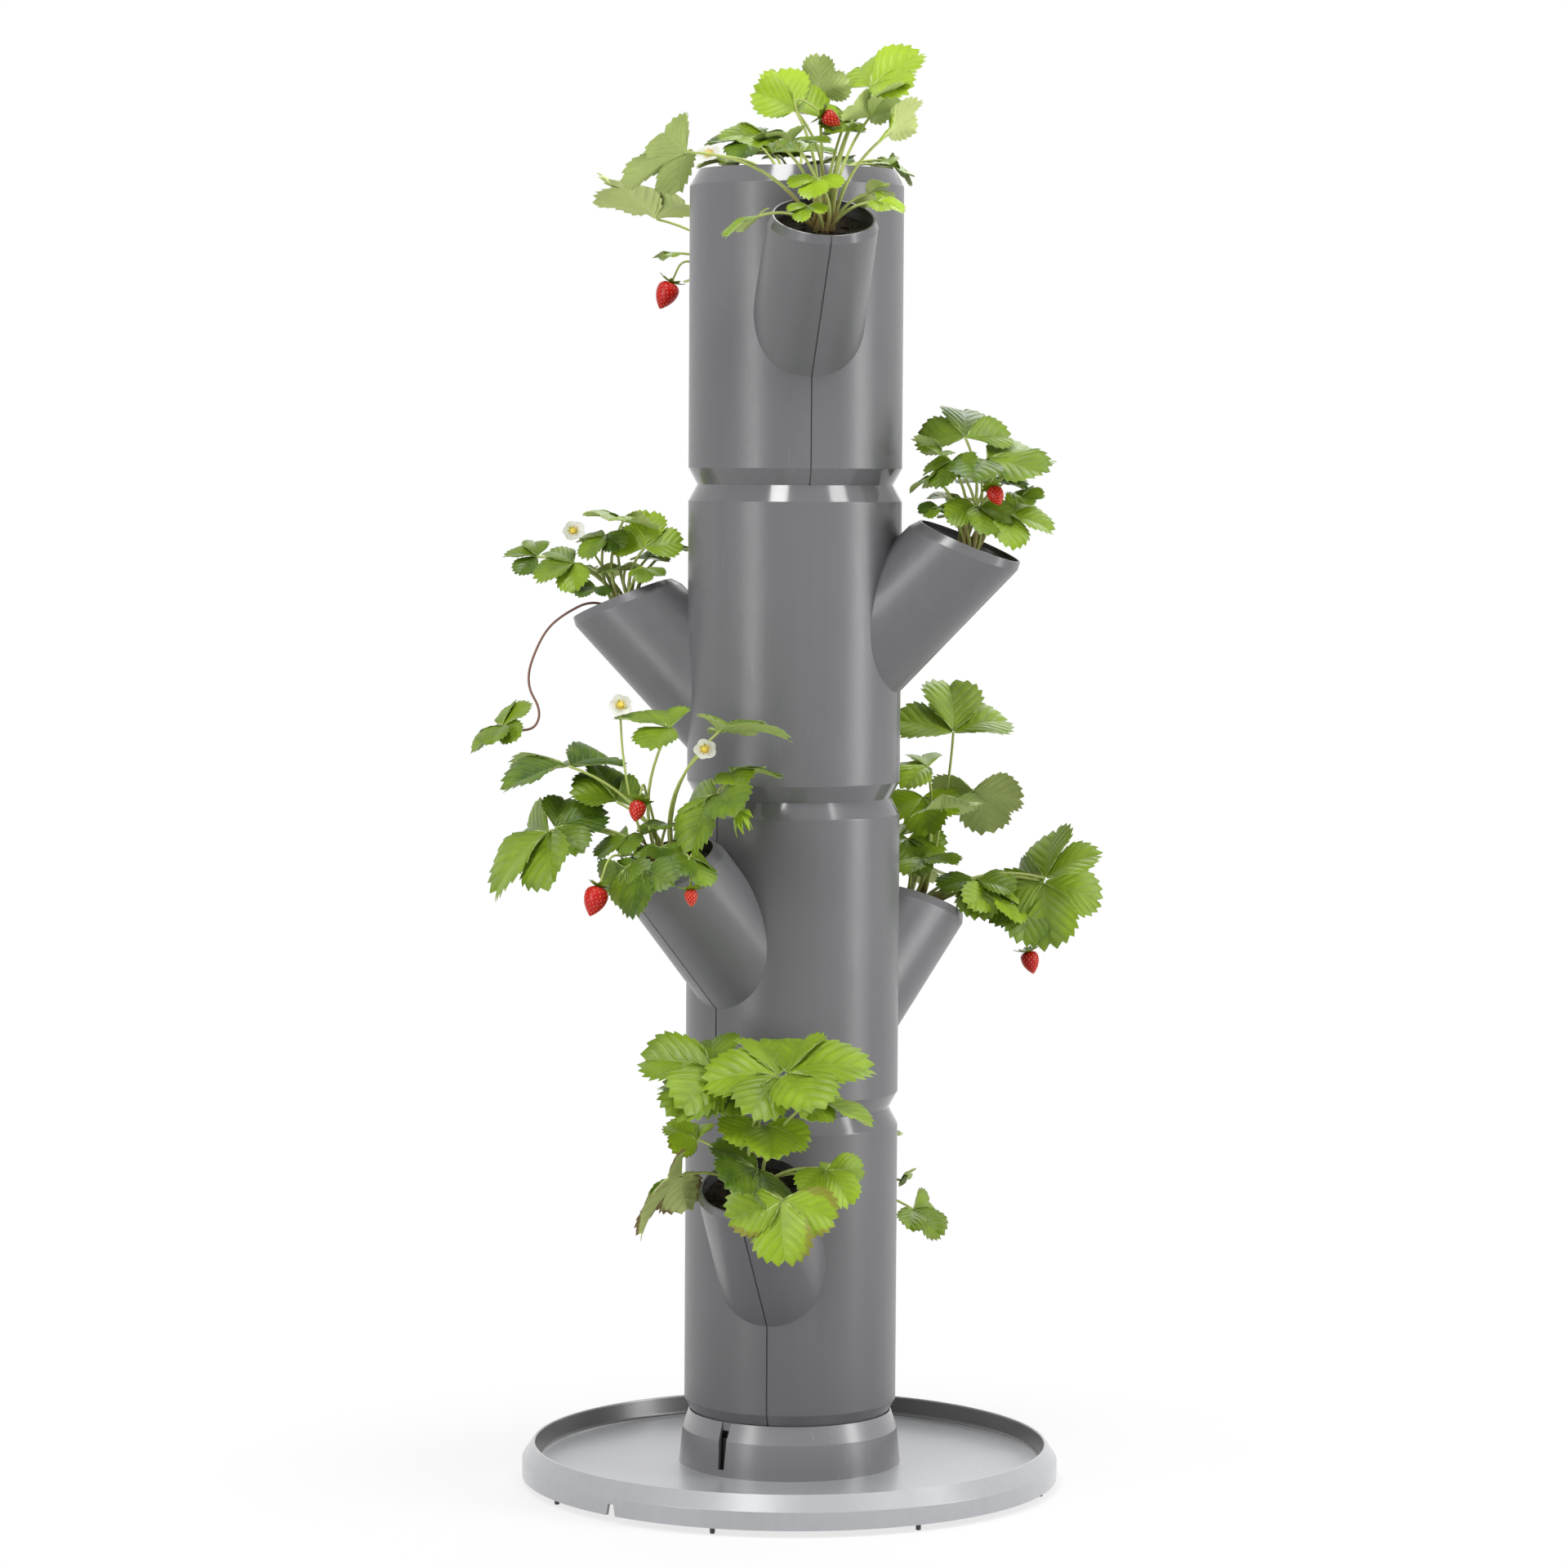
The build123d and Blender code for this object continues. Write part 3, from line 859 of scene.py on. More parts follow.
def rounded(corners: Sequence[np.ndarray], steps: int) -> np.ndarray:
    """Smooth line that starts at the first corner, ends at the last and is drawn towards the others.

    Args:
        corners: control points of the line.
        steps: points on each stretch.

    Returns:
        The points, one row each.
    """
    middles = [(one + other) / 2 for one, other in zip(corners, corners[1:])]
    stops = [corners[0], *middles[1:-1], corners[-1]]
    share = np.linspace(0.0, 1.0, steps, endpoint=False)[:, None]
    stretches = [drawn(*bend, share) for bend in zip(stops, corners[1:-1], stops[1:])]
    return np.concatenate((*stretches, corners[-1][None]))


def ring_faces(count: int, sides: int, first: int = 0) -> list[list[int]]:
    """Faces between rings of corners that follow one another.

    Args:
        count: number of rings.
        sides: corners of a ring.
        first: number of the first ring's first corner.

    Returns:
        The corners of each face.
    """
    faces = []
    for low in range(first, first + (count - 1) * sides, sides):
        for side in range(sides):
            beyond = (side + 1) % sides
            faces.append([low + side, low + beyond, low + sides + beyond, low + sides + side])
    return faces


class Sculpt:
    """Collects the points and faces of one piece and turns them into a mesh object."""

    def __init__(self, name: str) -> None:
        """Start with no points.

        Args:
            name: the piece's name.
        """
        self.name = name
        self.points: list[np.ndarray] = []
        self.tones: list[np.ndarray] = []
        self.faces: list[tuple[int, ...]] = []
        self.spots: list[np.ndarray] = []
        self.slots: list[int] = []
        self.count = 0

    def add(
        self,
        points: np.ndarray,
        faces: Sequence[Sequence[int]],
        spots: np.ndarray,
        slots: Sequence[int],
        tone: Triple = PLAIN_TONE,
    ) -> None:
        """Add one form.

        Args:
            points: places of its corners, one row each.
            faces: corners of each face, counted from this form's first one.
            spots: surface coordinates of each corner.
            slots: finish of each face.
            tone: tone, wilt and relief for the whole form.
        """
        self.points.append(points)
        self.tones.append(np.tile((*tone, 1.0), (len(points), 1)))
        for face in faces:
            self.faces.append(tuple(self.count + corner for corner in face))
            self.spots.append(spots[list(face)])
        self.slots.extend(slots)
        self.count += len(points)

    def sheet(
        self,
        grid: np.ndarray,
        spots: np.ndarray,
        thickness: np.ndarray,
        slots: tuple[Enum, Enum],
        tone: Triple = PLAIN_TONE,
    ) -> None:
        """Add a thin closed sheet.

        Args:
            grid: places of its upper face, by row and column.
            spots: surface coordinates, by row and column.
            thickness: thickness at each place.
            slots: finishes of the upper and the lower face.
            tone: tone, wilt and relief.
        """
        nothing = 1e-12
        rows, columns = grid.shape[:2]
        normal = np.cross(np.gradient(grid, axis=1), np.gradient(grid, axis=0))
        normal /= np.linalg.norm(normal, axis=2, keepdims=True) + nothing
        under = grid - normal * thickness[..., None]
        index = np.arange(rows * columns).reshape(rows, columns)
        corners = (index[:-1, :-1], index[:-1, 1:], index[1:, 1:], index[1:, :-1])
        halves = [[corners[step] for step in half] for half in ((0, 1, 2), (0, 2, 3))]
        upper_faces = np.concatenate([np.stack(half, axis=2).reshape(-1, 3) for half in halves])
        lower_faces = upper_faces[:, ::-1] + rows * columns
        loop = np.concatenate((index[0, :], index[1:, -1], index[-1, -2::-1], index[-2:0:-1, 0]))
        after = np.roll(loop, -1)
        rim_faces = np.stack((after, loop, loop + rows * columns, after + rows * columns), axis=1)
        flat_spots = spots.reshape(-1, 2)
        upper, lower = (slot.value for slot in slots)
        self.add(
            np.concatenate((grid.reshape(-1, 3), under.reshape(-1, 3))),
            [*upper_faces.tolist(), *lower_faces.tolist(), *rim_faces.tolist()],
            np.concatenate((flat_spots, flat_spots)),
            [upper] * len(upper_faces) + [lower] * (len(lower_faces) + len(rim_faces)),
            tone,
        )

    def tube(
        self, path: np.ndarray, radii: np.ndarray, slot: Enum, tone: Triple = PLAIN_TONE, sides: int = 7
    ) -> None:
        """Add a round stem along a path, closed at both ends.

        Args:
            path: points along its middle.
            radii: radius at each point.
            slot: its finish.
            tone: tone, wilt and relief.
            sides: corners of its section.
        """
        heading = np.gradient(path, axis=0)
        heading /= np.linalg.norm(heading, axis=1, keepdims=True)
        across = square_to(heading[0])
        rings = []
        for middle, ahead, radius in zip(path, heading, radii):
            across = unit(across - ahead * np.dot(across, ahead))
            rings.append(middle + radius * circle(sides, across, np.cross(ahead, across)))
        share = np.repeat(np.linspace(0.0, 1.0, len(path)), sides)
        turn = np.tile(np.linspace(0.0, 1.0, sides, endpoint=False), len(path))
        foot = list(range(sides))
        faces = ring_faces(len(path), sides)
        faces.append(foot[::-1])
        faces.append([(len(path) - 1) * sides + side for side in foot])
        spots = np.stack((share, turn), axis=1)
        self.add(np.concatenate(rings), faces, spots, [slot.value] * len(faces), tone)

    def turned(self, rings: Sequence[np.ndarray], slot: Enum) -> None:
        """Add a closed form from rings of points, with a fan at each end.

        Args:
            rings: places by ring and by step round the ring; the end rings are single points repeated.
            slot: its finish.
        """
        places = np.array(rings)
        count, sides = places.shape[:2]
        points = np.concatenate((places[0, :1], places[1:-1].reshape(-1, 3), places[-1, :1]))
        share = np.repeat(np.linspace(0.0, 1.0, count)[1:-1], sides)
        turn = np.tile(np.linspace(0.0, 1.0, sides, endpoint=False), count - 2)
        spots = np.concatenate((((0.0, 0.0),), np.stack((share, turn), axis=1), ((1.0, 0.0),)))
        last = len(points) - 1
        faces = ring_faces(count - 2, sides, 1)
        for side in range(sides):
            beyond = (side + 1) % sides
            faces.append([0, 1 + beyond, 1 + side])
            faces.append([last - sides + side, last - sides + beyond, last])
        self.add(points, faces, spots, [slot.value] * len(faces))

    def build(self, finishes: Sequence[bpy.types.Material]) -> bpy.types.Object:
        """Make the mesh object.

        Args:
            finishes: materials in the order of the slots.

        Returns:
            The object, linked to the scene.
        """
        mesh = bpy.data.meshes.new(self.name)
        mesh.from_pydata(np.concatenate(self.points).tolist(), [], self.faces)
        layer = mesh.uv_layers.new(name="surface")
        layer.data.foreach_set("uv", np.concatenate(self.spots).astype(np.float32).ravel())
        tone = mesh.color_attributes.new("tone", "FLOAT_COLOR", "POINT")
        tone.data.foreach_set("color", np.concatenate(self.tones).astype(np.float32).ravel())
        mesh.polygons.foreach_set("material_index", self.slots)
        for finish in finishes:
            mesh.materials.append(finish)
        mesh.shade_smooth()
        mesh.set_sharp_from_angle(angle=CREASE_ANGLE)
        piece = bpy.data.objects.new(self.name, mesh)
        bpy.context.scene.collection.objects.link(piece)
        return piece


# Forms that plants repeat


@dataclass(frozen=True)
class LeafletForm:
    """Outline, veins and bends of one toothed leaflet of length 1, by rows from its base to its tip."""

    teeth: int = 8
    half_width: float = 0.45
    widest: float = 0.55
    fullness: float = 0.4
    tooth_rise: float = 0.05
    tooth_lean: float = 0.03
    tooth_tip: float = 0.72
    tooth_back: Span = (0.38, 0.4)
    notch: float = 0.012
    foot_angles: tuple[float, ...] = (0.1, 0.28, 0.48, 0.66)
    first_angle: float = 0.8
    last_angle: float = math.pi - 0.09
    margin_lean: float = 0.6
    vein_slope: float = 1.05
    columns: tuple[float, ...] = (1.0, 0.78, 0.42, 0.0, -0.42, -0.78, -1.0)
    width_span: Span = (0.93, 1.06)
    fold_span: Span = (10.0, 32.0)
    fold_ease: float = 1.3
    arch_span: Span = (0.16, 0.4)
    arch_lift: float = 0.55
    quilt: float = 0.013
    wave: float = 0.028
    wave_pace: float = 9.0
    wave_shift: float = 1.7
    bend: float = 0.06

    @property
    def tooth_step(self) -> float:
        """Angle along the margin from one tooth to the next."""
        return (self.last_angle - self.first_angle) / self.teeth

    def rows(self) -> tuple[np.ndarray, np.ndarray]:
        """Rows of points along the margin.

        Returns:
            Angle along the margin and tooth height of each row.
        """
        angles = list(self.foot_angles)
        rises = [0.0] * len(angles)
        back, back_rise = self.tooth_back
        tooth_line = (
            (0.0, -self.notch),
            (back, back_rise * self.tooth_rise),
            (self.tooth_tip, self.tooth_rise),
        )
        for tooth in range(self.teeth):
            for share, rise in tooth_line:
                angles.append(self.first_angle + (tooth + share) * self.tooth_step)
                rises.append(rise)
        angles.append(self.last_angle)
        rises.append(0.0)
        return np.array(angles), np.array(rises)

    def grid(self) -> tuple[np.ndarray, np.ndarray, np.ndarray]:
        """Flat places and surface coordinates of the leaflet's points.

        Returns:
            Places along and across, and coordinates (vein number, share from midrib to margin), by row and
            column.
        """
        angles, rises = self.rows()
        along = (1 - np.cos(angles)) / 2
        across = self.half_width * np.sin(angles) * (along / self.widest) ** self.fullness
        lean = np.maximum(rises, 0.0) * self.tooth_lean / self.tooth_rise
        margin_along = along - rises * np.cos(angles) * self.margin_lean + lean
        margin_across = across + rises * np.sin(angles)
        rib_along = np.maximum(along - self.vein_slope * across, 0.0)
        columns = np.array(self.columns)[None, :]
        share = np.abs(columns)
        x = rib_along[:, None] * (1 - share) + margin_along[:, None] * share
        y = margin_across[:, None] * columns
        number = (angles - self.first_angle) / self.tooth_step - self.tooth_tip
        return x, y, np.stack(np.broadcast_arrays(number[:, None], columns), axis=2)

    def formed(self, chance: random.Random) -> tuple[tuple[np.ndarray, ...], np.ndarray]:
        """Fold one leaflet along its midrib, arch and wave it, and quilt it between its veins.

        Args:
            chance: the plant's chance values.

        Returns:
            Shares along, across and above the leaflet, and its surface coordinates.
        """
        x, y, spots = self.grid()
        y = y * chance.uniform(*self.width_span)
        fold = math.tan(math.radians(chance.uniform(*self.fold_span)))
        arch = chance.uniform(*self.arch_span)
        phase = chance.uniform(0.0, FULL_TURN)
        bend = chance.uniform(-self.bend, self.bend)
        number, share = spots[..., 0], np.abs(spots[..., 1])
        swollen = np.sin(math.pi * share) * (0.5 - 0.5 * np.cos(FULL_TURN * number))
        waved = share**2 * np.sin(self.wave_pace * x + phase + self.wave_shift * np.sign(y))
        height = fold * (np.abs(y) - self.fold_ease * np.abs(y) ** 2)
        height = height + arch * (self.arch_lift * x - x**2)
        height = height + self.quilt * swollen + self.wave * waved
        return (x, y + bend * x**2, height), spots


@dataclass(frozen=True)
class CalyxForm:
    """Ring of pointed sepals over a berry or under a flower."""

    count: int = 9
    rows: int = 6
    columns: tuple[float, ...] = (1.0, 0.5, 0.0, -0.5, -1.0)
    half_width: float = 0.26
    tip_width: float = 0.01
    foot_share: float = 0.14
    roundness: float = 0.8
    droop: float = 0.1
    closing: float = 0.55
    closed_cup: float = 1.8
    turn_spread: float = 9.0
    length_span: Span = (0.8, 1.1)
    cup_span: Span = (0.4, 1.2)
    seat: float = 0.0008
    thickness: float = 0.0004
    relief: float = 0.15

    def add(
        self, foliage: Sculpt, chance: random.Random, stub: Stub, length: float, cup: float, tone: float
    ) -> None:
        """Add one ring of sepals.

        Args:
            foliage: the plant's forms.
            chance: the plant's chance values.
            stub: end of the stalk, and the direction that the berry or flower grows in.
            length: length of a sepal.
            cup: how far the sepals bend along that direction; below 0 they bend back.
            tone: how bright their green is, from 0 to 1.
        """
        place, axis = stub
        across = square_to(axis)
        along = np.linspace(0.0, 1.0, self.rows)[:, None]
        columns = np.array(self.columns)[None, :]
        swell = np.sin(math.pi * np.clip(along * (1 - self.foot_share) + self.foot_share, 0.0, 1.0))
        width = self.half_width * swell**self.roundness + self.tip_width
        spread = along * (1 - self.closing * max(cup, 0.0) / self.closed_cup * along) + 0 * columns
        spots = np.stack(np.broadcast_arrays(along, columns), axis=2)
        for index in range(self.count):
            turn = 360.0 * index / self.count + chance.uniform(-self.turn_spread, self.turn_spread)
            out = turned_about(across, axis, turn)
            left = np.cross(-axis, out)
            reach = length * chance.uniform(*self.length_span)
            lift = cup * along**2 * chance.uniform(*self.cup_span) - self.droop * np.abs(columns) * width
            grid = laid(place + axis * self.seat, reach, (spread, width * columns, lift), (out, left, axis))
            thickness = np.full(spread.shape, self.thickness)
            slots = (FoliageSlot.TOP, FoliageSlot.TOP)
            foliage.sheet(grid, spots, thickness, slots, (tone, 0.0, self.relief))


@dataclass(frozen=True)
class BerryForm:
    """Ripe berry: a rounded cone with a seed in each of its dimples."""

    sides: int = 44
    rings: int = 30
    shoulder: float = 0.08
    shoulder_rings: int = 4
    slimness: float = 0.39
    widest: float = 0.28
    shoulder_power: float = 0.75
    taper: float = 1.15
    taper_power: float = 0.85
    seat: float = 0.001
    fewest_seeds: float = 30.0
    seeds_per_mm: float = 3.2
    first_seed: float = 0.1
    seed_reach: float = 0.84
    pit_radius: float = 0.00085
    pit_depth: float = 0.00045
    seed_sunk: float = 0.00032
    seed_sides: int = 6
    seed_size: Triple = (0.00034, 0.00026, 0.00062)
    seed_line: tuple[Span, ...] = ((-1.0, 0.0), (-0.5, 0.75), (0.2, 1.0), (0.75, 0.55), (1.0, 0.0))

    def width(self, share: np.ndarray | float) -> np.ndarray:
        """Width of the berry.

        Args:
            share: places from the shoulder, 0, to the tip, 1.

        Returns:
            The width there, as a share of the widest.
        """
        over = np.clip(1 - ((self.widest - share) / self.widest) ** 2, 0.0, 1.0)
        down = np.clip(share - self.widest, 0.0, 1.0) / (1 - self.widest)
        tapered = np.clip(np.cos(math.pi / 2 * down**self.taper), 0.0, 1.0)
        rounded_over = np.sqrt(over) ** self.shoulder_power
        return np.where(share < self.widest, rounded_over, tapered**self.taper_power)

    def seeds(self, length_mm: float) -> list[Span]:
        """Places of the seeds.

        Args:
            length_mm: the berry's length, in millimetres.

        Returns:
            Share along the berry and turn round it of each seed.
        """
        golden = math.pi * (3 - math.sqrt(5))
        count = int(self.fewest_seeds + self.seeds_per_mm * length_mm)
        return [(self.first_seed + self.seed_reach * (k + 0.5) / count, k * golden) for k in range(count)]

    def add(self, fruit: Sculpt, stub: Stub, length_mm: float) -> None:
        """Add one berry with its seeds.

        Args:
            fruit: the plant's berries.
            stub: end of the stalk, and the direction that the berry hangs in.
            length_mm: the berry's length, in millimetres.
        """
        place, axis = stub
        length = length_mm * MM
        top = place + axis * self.seat
        across = square_to(axis)
        beside = np.cross(axis, across)
        upper = np.linspace(0.0, self.shoulder, self.shoulder_rings, endpoint=False)
        share = np.concatenate((upper, np.linspace(self.shoulder, 1.0, self.rings)))
        thickest = self.slimness * length
        radius = thickest * self.width(share)
        spin = steps_round(self.sides)
        pits = np.zeros((len(share), self.sides))
        for level, turn in self.seeds(length_mm):
            arc = np.abs((spin - turn + math.pi) % FULL_TURN - math.pi)[None] * radius[:, None]
            gap = np.hypot(arc, (share[:, None] - level) * length)
            pits = np.maximum(pits, np.exp(-((gap / self.pit_radius) ** 2)))
        dimpled = radius[:, None] - pits * self.pit_depth * (radius / thickest)[:, None]
        around = circle(self.sides, across, beside)
        middles = top + share[:, None, None] * length * axis
        fruit.turned(middles + dimpled[..., None] * around, FruitSlot.SKIN)
        for level, turn in self.seeds(length_mm):
            out = across * math.cos(turn) + beside * math.sin(turn)
            reach = thickest * float(self.width(level)) - self.seed_sunk
            self.add_seed(fruit, top + axis * (level * length) + out * reach, axis, out)

    def add_seed(self, fruit: Sculpt, spot: np.ndarray, along: np.ndarray, out: np.ndarray) -> None:
        """Add one drop-shaped seed.

        Args:
            fruit: the plant's berries.
            spot: middle of the seed.
            along: direction of the berry's axis.
            out: direction out of the berry.
        """
        half_width, half_depth, half_length = self.seed_size
        ring = circle(self.seed_sides, np.cross(out, along) * half_width, -out * half_depth)
        rings = [spot + along * (share * half_length) + width * ring for share, width in self.seed_line]
        fruit.turned(rings, FruitSlot.SEED)


@dataclass(frozen=True)
class FlowerForm:
    """Open flower: five cupped petals round a domed heart with a ring of stamens."""

    petals: int = 5
    petal_length: float = 0.0085
    petal_rows: int = 8
    petal_columns: int = 7
    petal_width: float = 0.5
    petal_foot: float = 0.02
    petal_span: Span = (0.93, 0.03)
    petal_fullness: float = 1.2
    petal_curve: float = 0.06
    petal_rise: float = 0.2
    petal_bend: float = 1.5
    petal_cup: float = 0.25
    petal_overlap: float = 0.02
    petal_thickness: float = 0.0003
    petal_seat: float = 0.0009
    turn_spread: float = 6.0
    length_span: Span = (0.9, 1.0)
    heart_sides: int = 12
    heart_rings: int = 7
    heart_radius: float = 0.0024
    heart_seat: float = 0.0006
    heart_height: float = 0.0028
    heart_dome: Triple = (0.9, 0.1, 0.6)
    heart_knobs: int = 6
    knob_rise: float = 0.12
    stamens: int = 14
    stamen_foot: Span = (0.0014, 0.0022)
    stamen_tip: Span = (0.0034, 0.0036)
    stamen_step: float = 0.0005
    stamen_radii: tuple[float, ...] = (0.00018, 0.00018, 0.00034, 0.0003)
    stamen_sides: int = 5

    def add(self, blossoms: Sculpt, chance: random.Random, stub: Stub) -> None:
        """Add one flower.

        Args:
            blossoms: the plant's flowers.
            chance: the plant's chance values.
            stub: end of the stalk, and the direction that the flower looks.
        """
        place, axis = stub
        across = square_to(axis)
        along = np.linspace(0.0, 1.0, self.petal_rows)[:, None]
        columns = np.linspace(1.0, -1.0, self.petal_columns)[None, :]
        scale, start = self.petal_span
        swell = np.sin(math.pi * np.clip(along * scale + start, 0.0, 1.0) ** self.petal_fullness)
        width = self.petal_width * np.sqrt(np.clip(swell, 0.0, 1.0)) + self.petal_foot
        x = along - self.petal_curve * columns**2 * along
        y = width * columns
        spots = np.stack((x, np.broadcast_to(columns, x.shape)), axis=2)
        thickness = np.full(x.shape, self.petal_thickness)
        for index in range(self.petals):
            turn = 360.0 / self.petals * index + chance.uniform(-self.turn_spread, self.turn_spread)
            out = turned_about(across, axis, turn)
            left = np.cross(axis, out)
            reach = self.petal_length * chance.uniform(*self.length_span)
            lift = self.petal_rise * along**self.petal_bend + self.petal_cup * y**2
            lift = lift + self.petal_overlap * (index % 2)
            grid = laid(place + axis * self.petal_seat, reach, (x, y, lift), (out, left, axis))
            blossoms.sheet(grid, spots, thickness, (BlossomSlot.PETAL, BlossomSlot.PETAL))
        self.add_heart(blossoms, place, axis, across)

    def add_heart(self, blossoms: Sculpt, place: np.ndarray, axis: np.ndarray, across: np.ndarray) -> None:
        """Add the knobbed yellow middle of a flower with its ring of stamens.

        Args:
            blossoms: the plant's flowers.
            place: end of the stalk.
            axis: direction that the flower looks.
            across: a direction square to it.
        """
        spin = steps_round(self.heart_sides)
        around = circle(self.heart_sides, across, np.cross(axis, across))
        scale, start, roundness = self.heart_dome
        rings = []
        for share in np.linspace(0.0, 1.0, self.heart_rings):
            swell = math.sin(math.pi * min(1.0, share * scale + start))
            dome = swell**roundness if 0 < share < 1 else 0.0
            knobs = 1 + self.knob_rise * np.cos(self.heart_knobs * (spin + 2 * share))
            middle = place + axis * (self.heart_seat + self.heart_height * share)
            rings.append(middle + self.heart_radius * dome * knobs[:, None] * around)
        blossoms.turned(rings, BlossomSlot.HEART)
        foot_rise, foot_reach = self.stamen_foot
        tip_rise, tip_reach = self.stamen_tip
        radii = np.array(self.stamen_radii)
        for index in range(self.stamens):
            out = turned_about(across, axis, 360.0 * index / self.stamens)
            foot = place + axis * foot_rise + out * foot_reach
            tip = place + axis * tip_rise + out * (tip_reach + self.stamen_step * (index % 2))
            path = np.linspace(foot, tip, len(radii))
            blossoms.tube(path, radii, BlossomSlot.HEART, sides=self.stamen_sides)


# Plants


@dataclass(frozen=True)
class Leaf:
    """One leaf, in millimetres and degrees: its stalk's end from the mouth's middle, and its blade."""

    sideways: float
    outward: float
    up: float
    turn: float
    rise: float
    roll: float
    length: float
    wilt: float = 0.0


@dataclass(frozen=True)
class Berry:
    """One berry, in millimetres: the highest point of its stalk, the stalk's end and the berry's length."""

    top: Triple
    end: Triple
    length: float


@dataclass(frozen=True)
class Flower:
    """One open flower: its place in millimetres, and the turn and rise that it looks in, in degrees."""

    place: Triple
    turn: float
    rise: float


@dataclass(frozen=True)
class Growth:
    """What one plant carries, and how bright its leaves are: partly their own green, partly painted light
    and shade.
    """

    leaves: tuple[Leaf, ...]
    berries: tuple[Berry, ...] = ()
    spent: tuple[Berry, ...] = ()
    flowers: tuple[Flower, ...] = ()
    runner: tuple[Triple, ...] = ()
    runner_leaves: tuple[Leaf, ...] = ()
    tone: float = 0.5


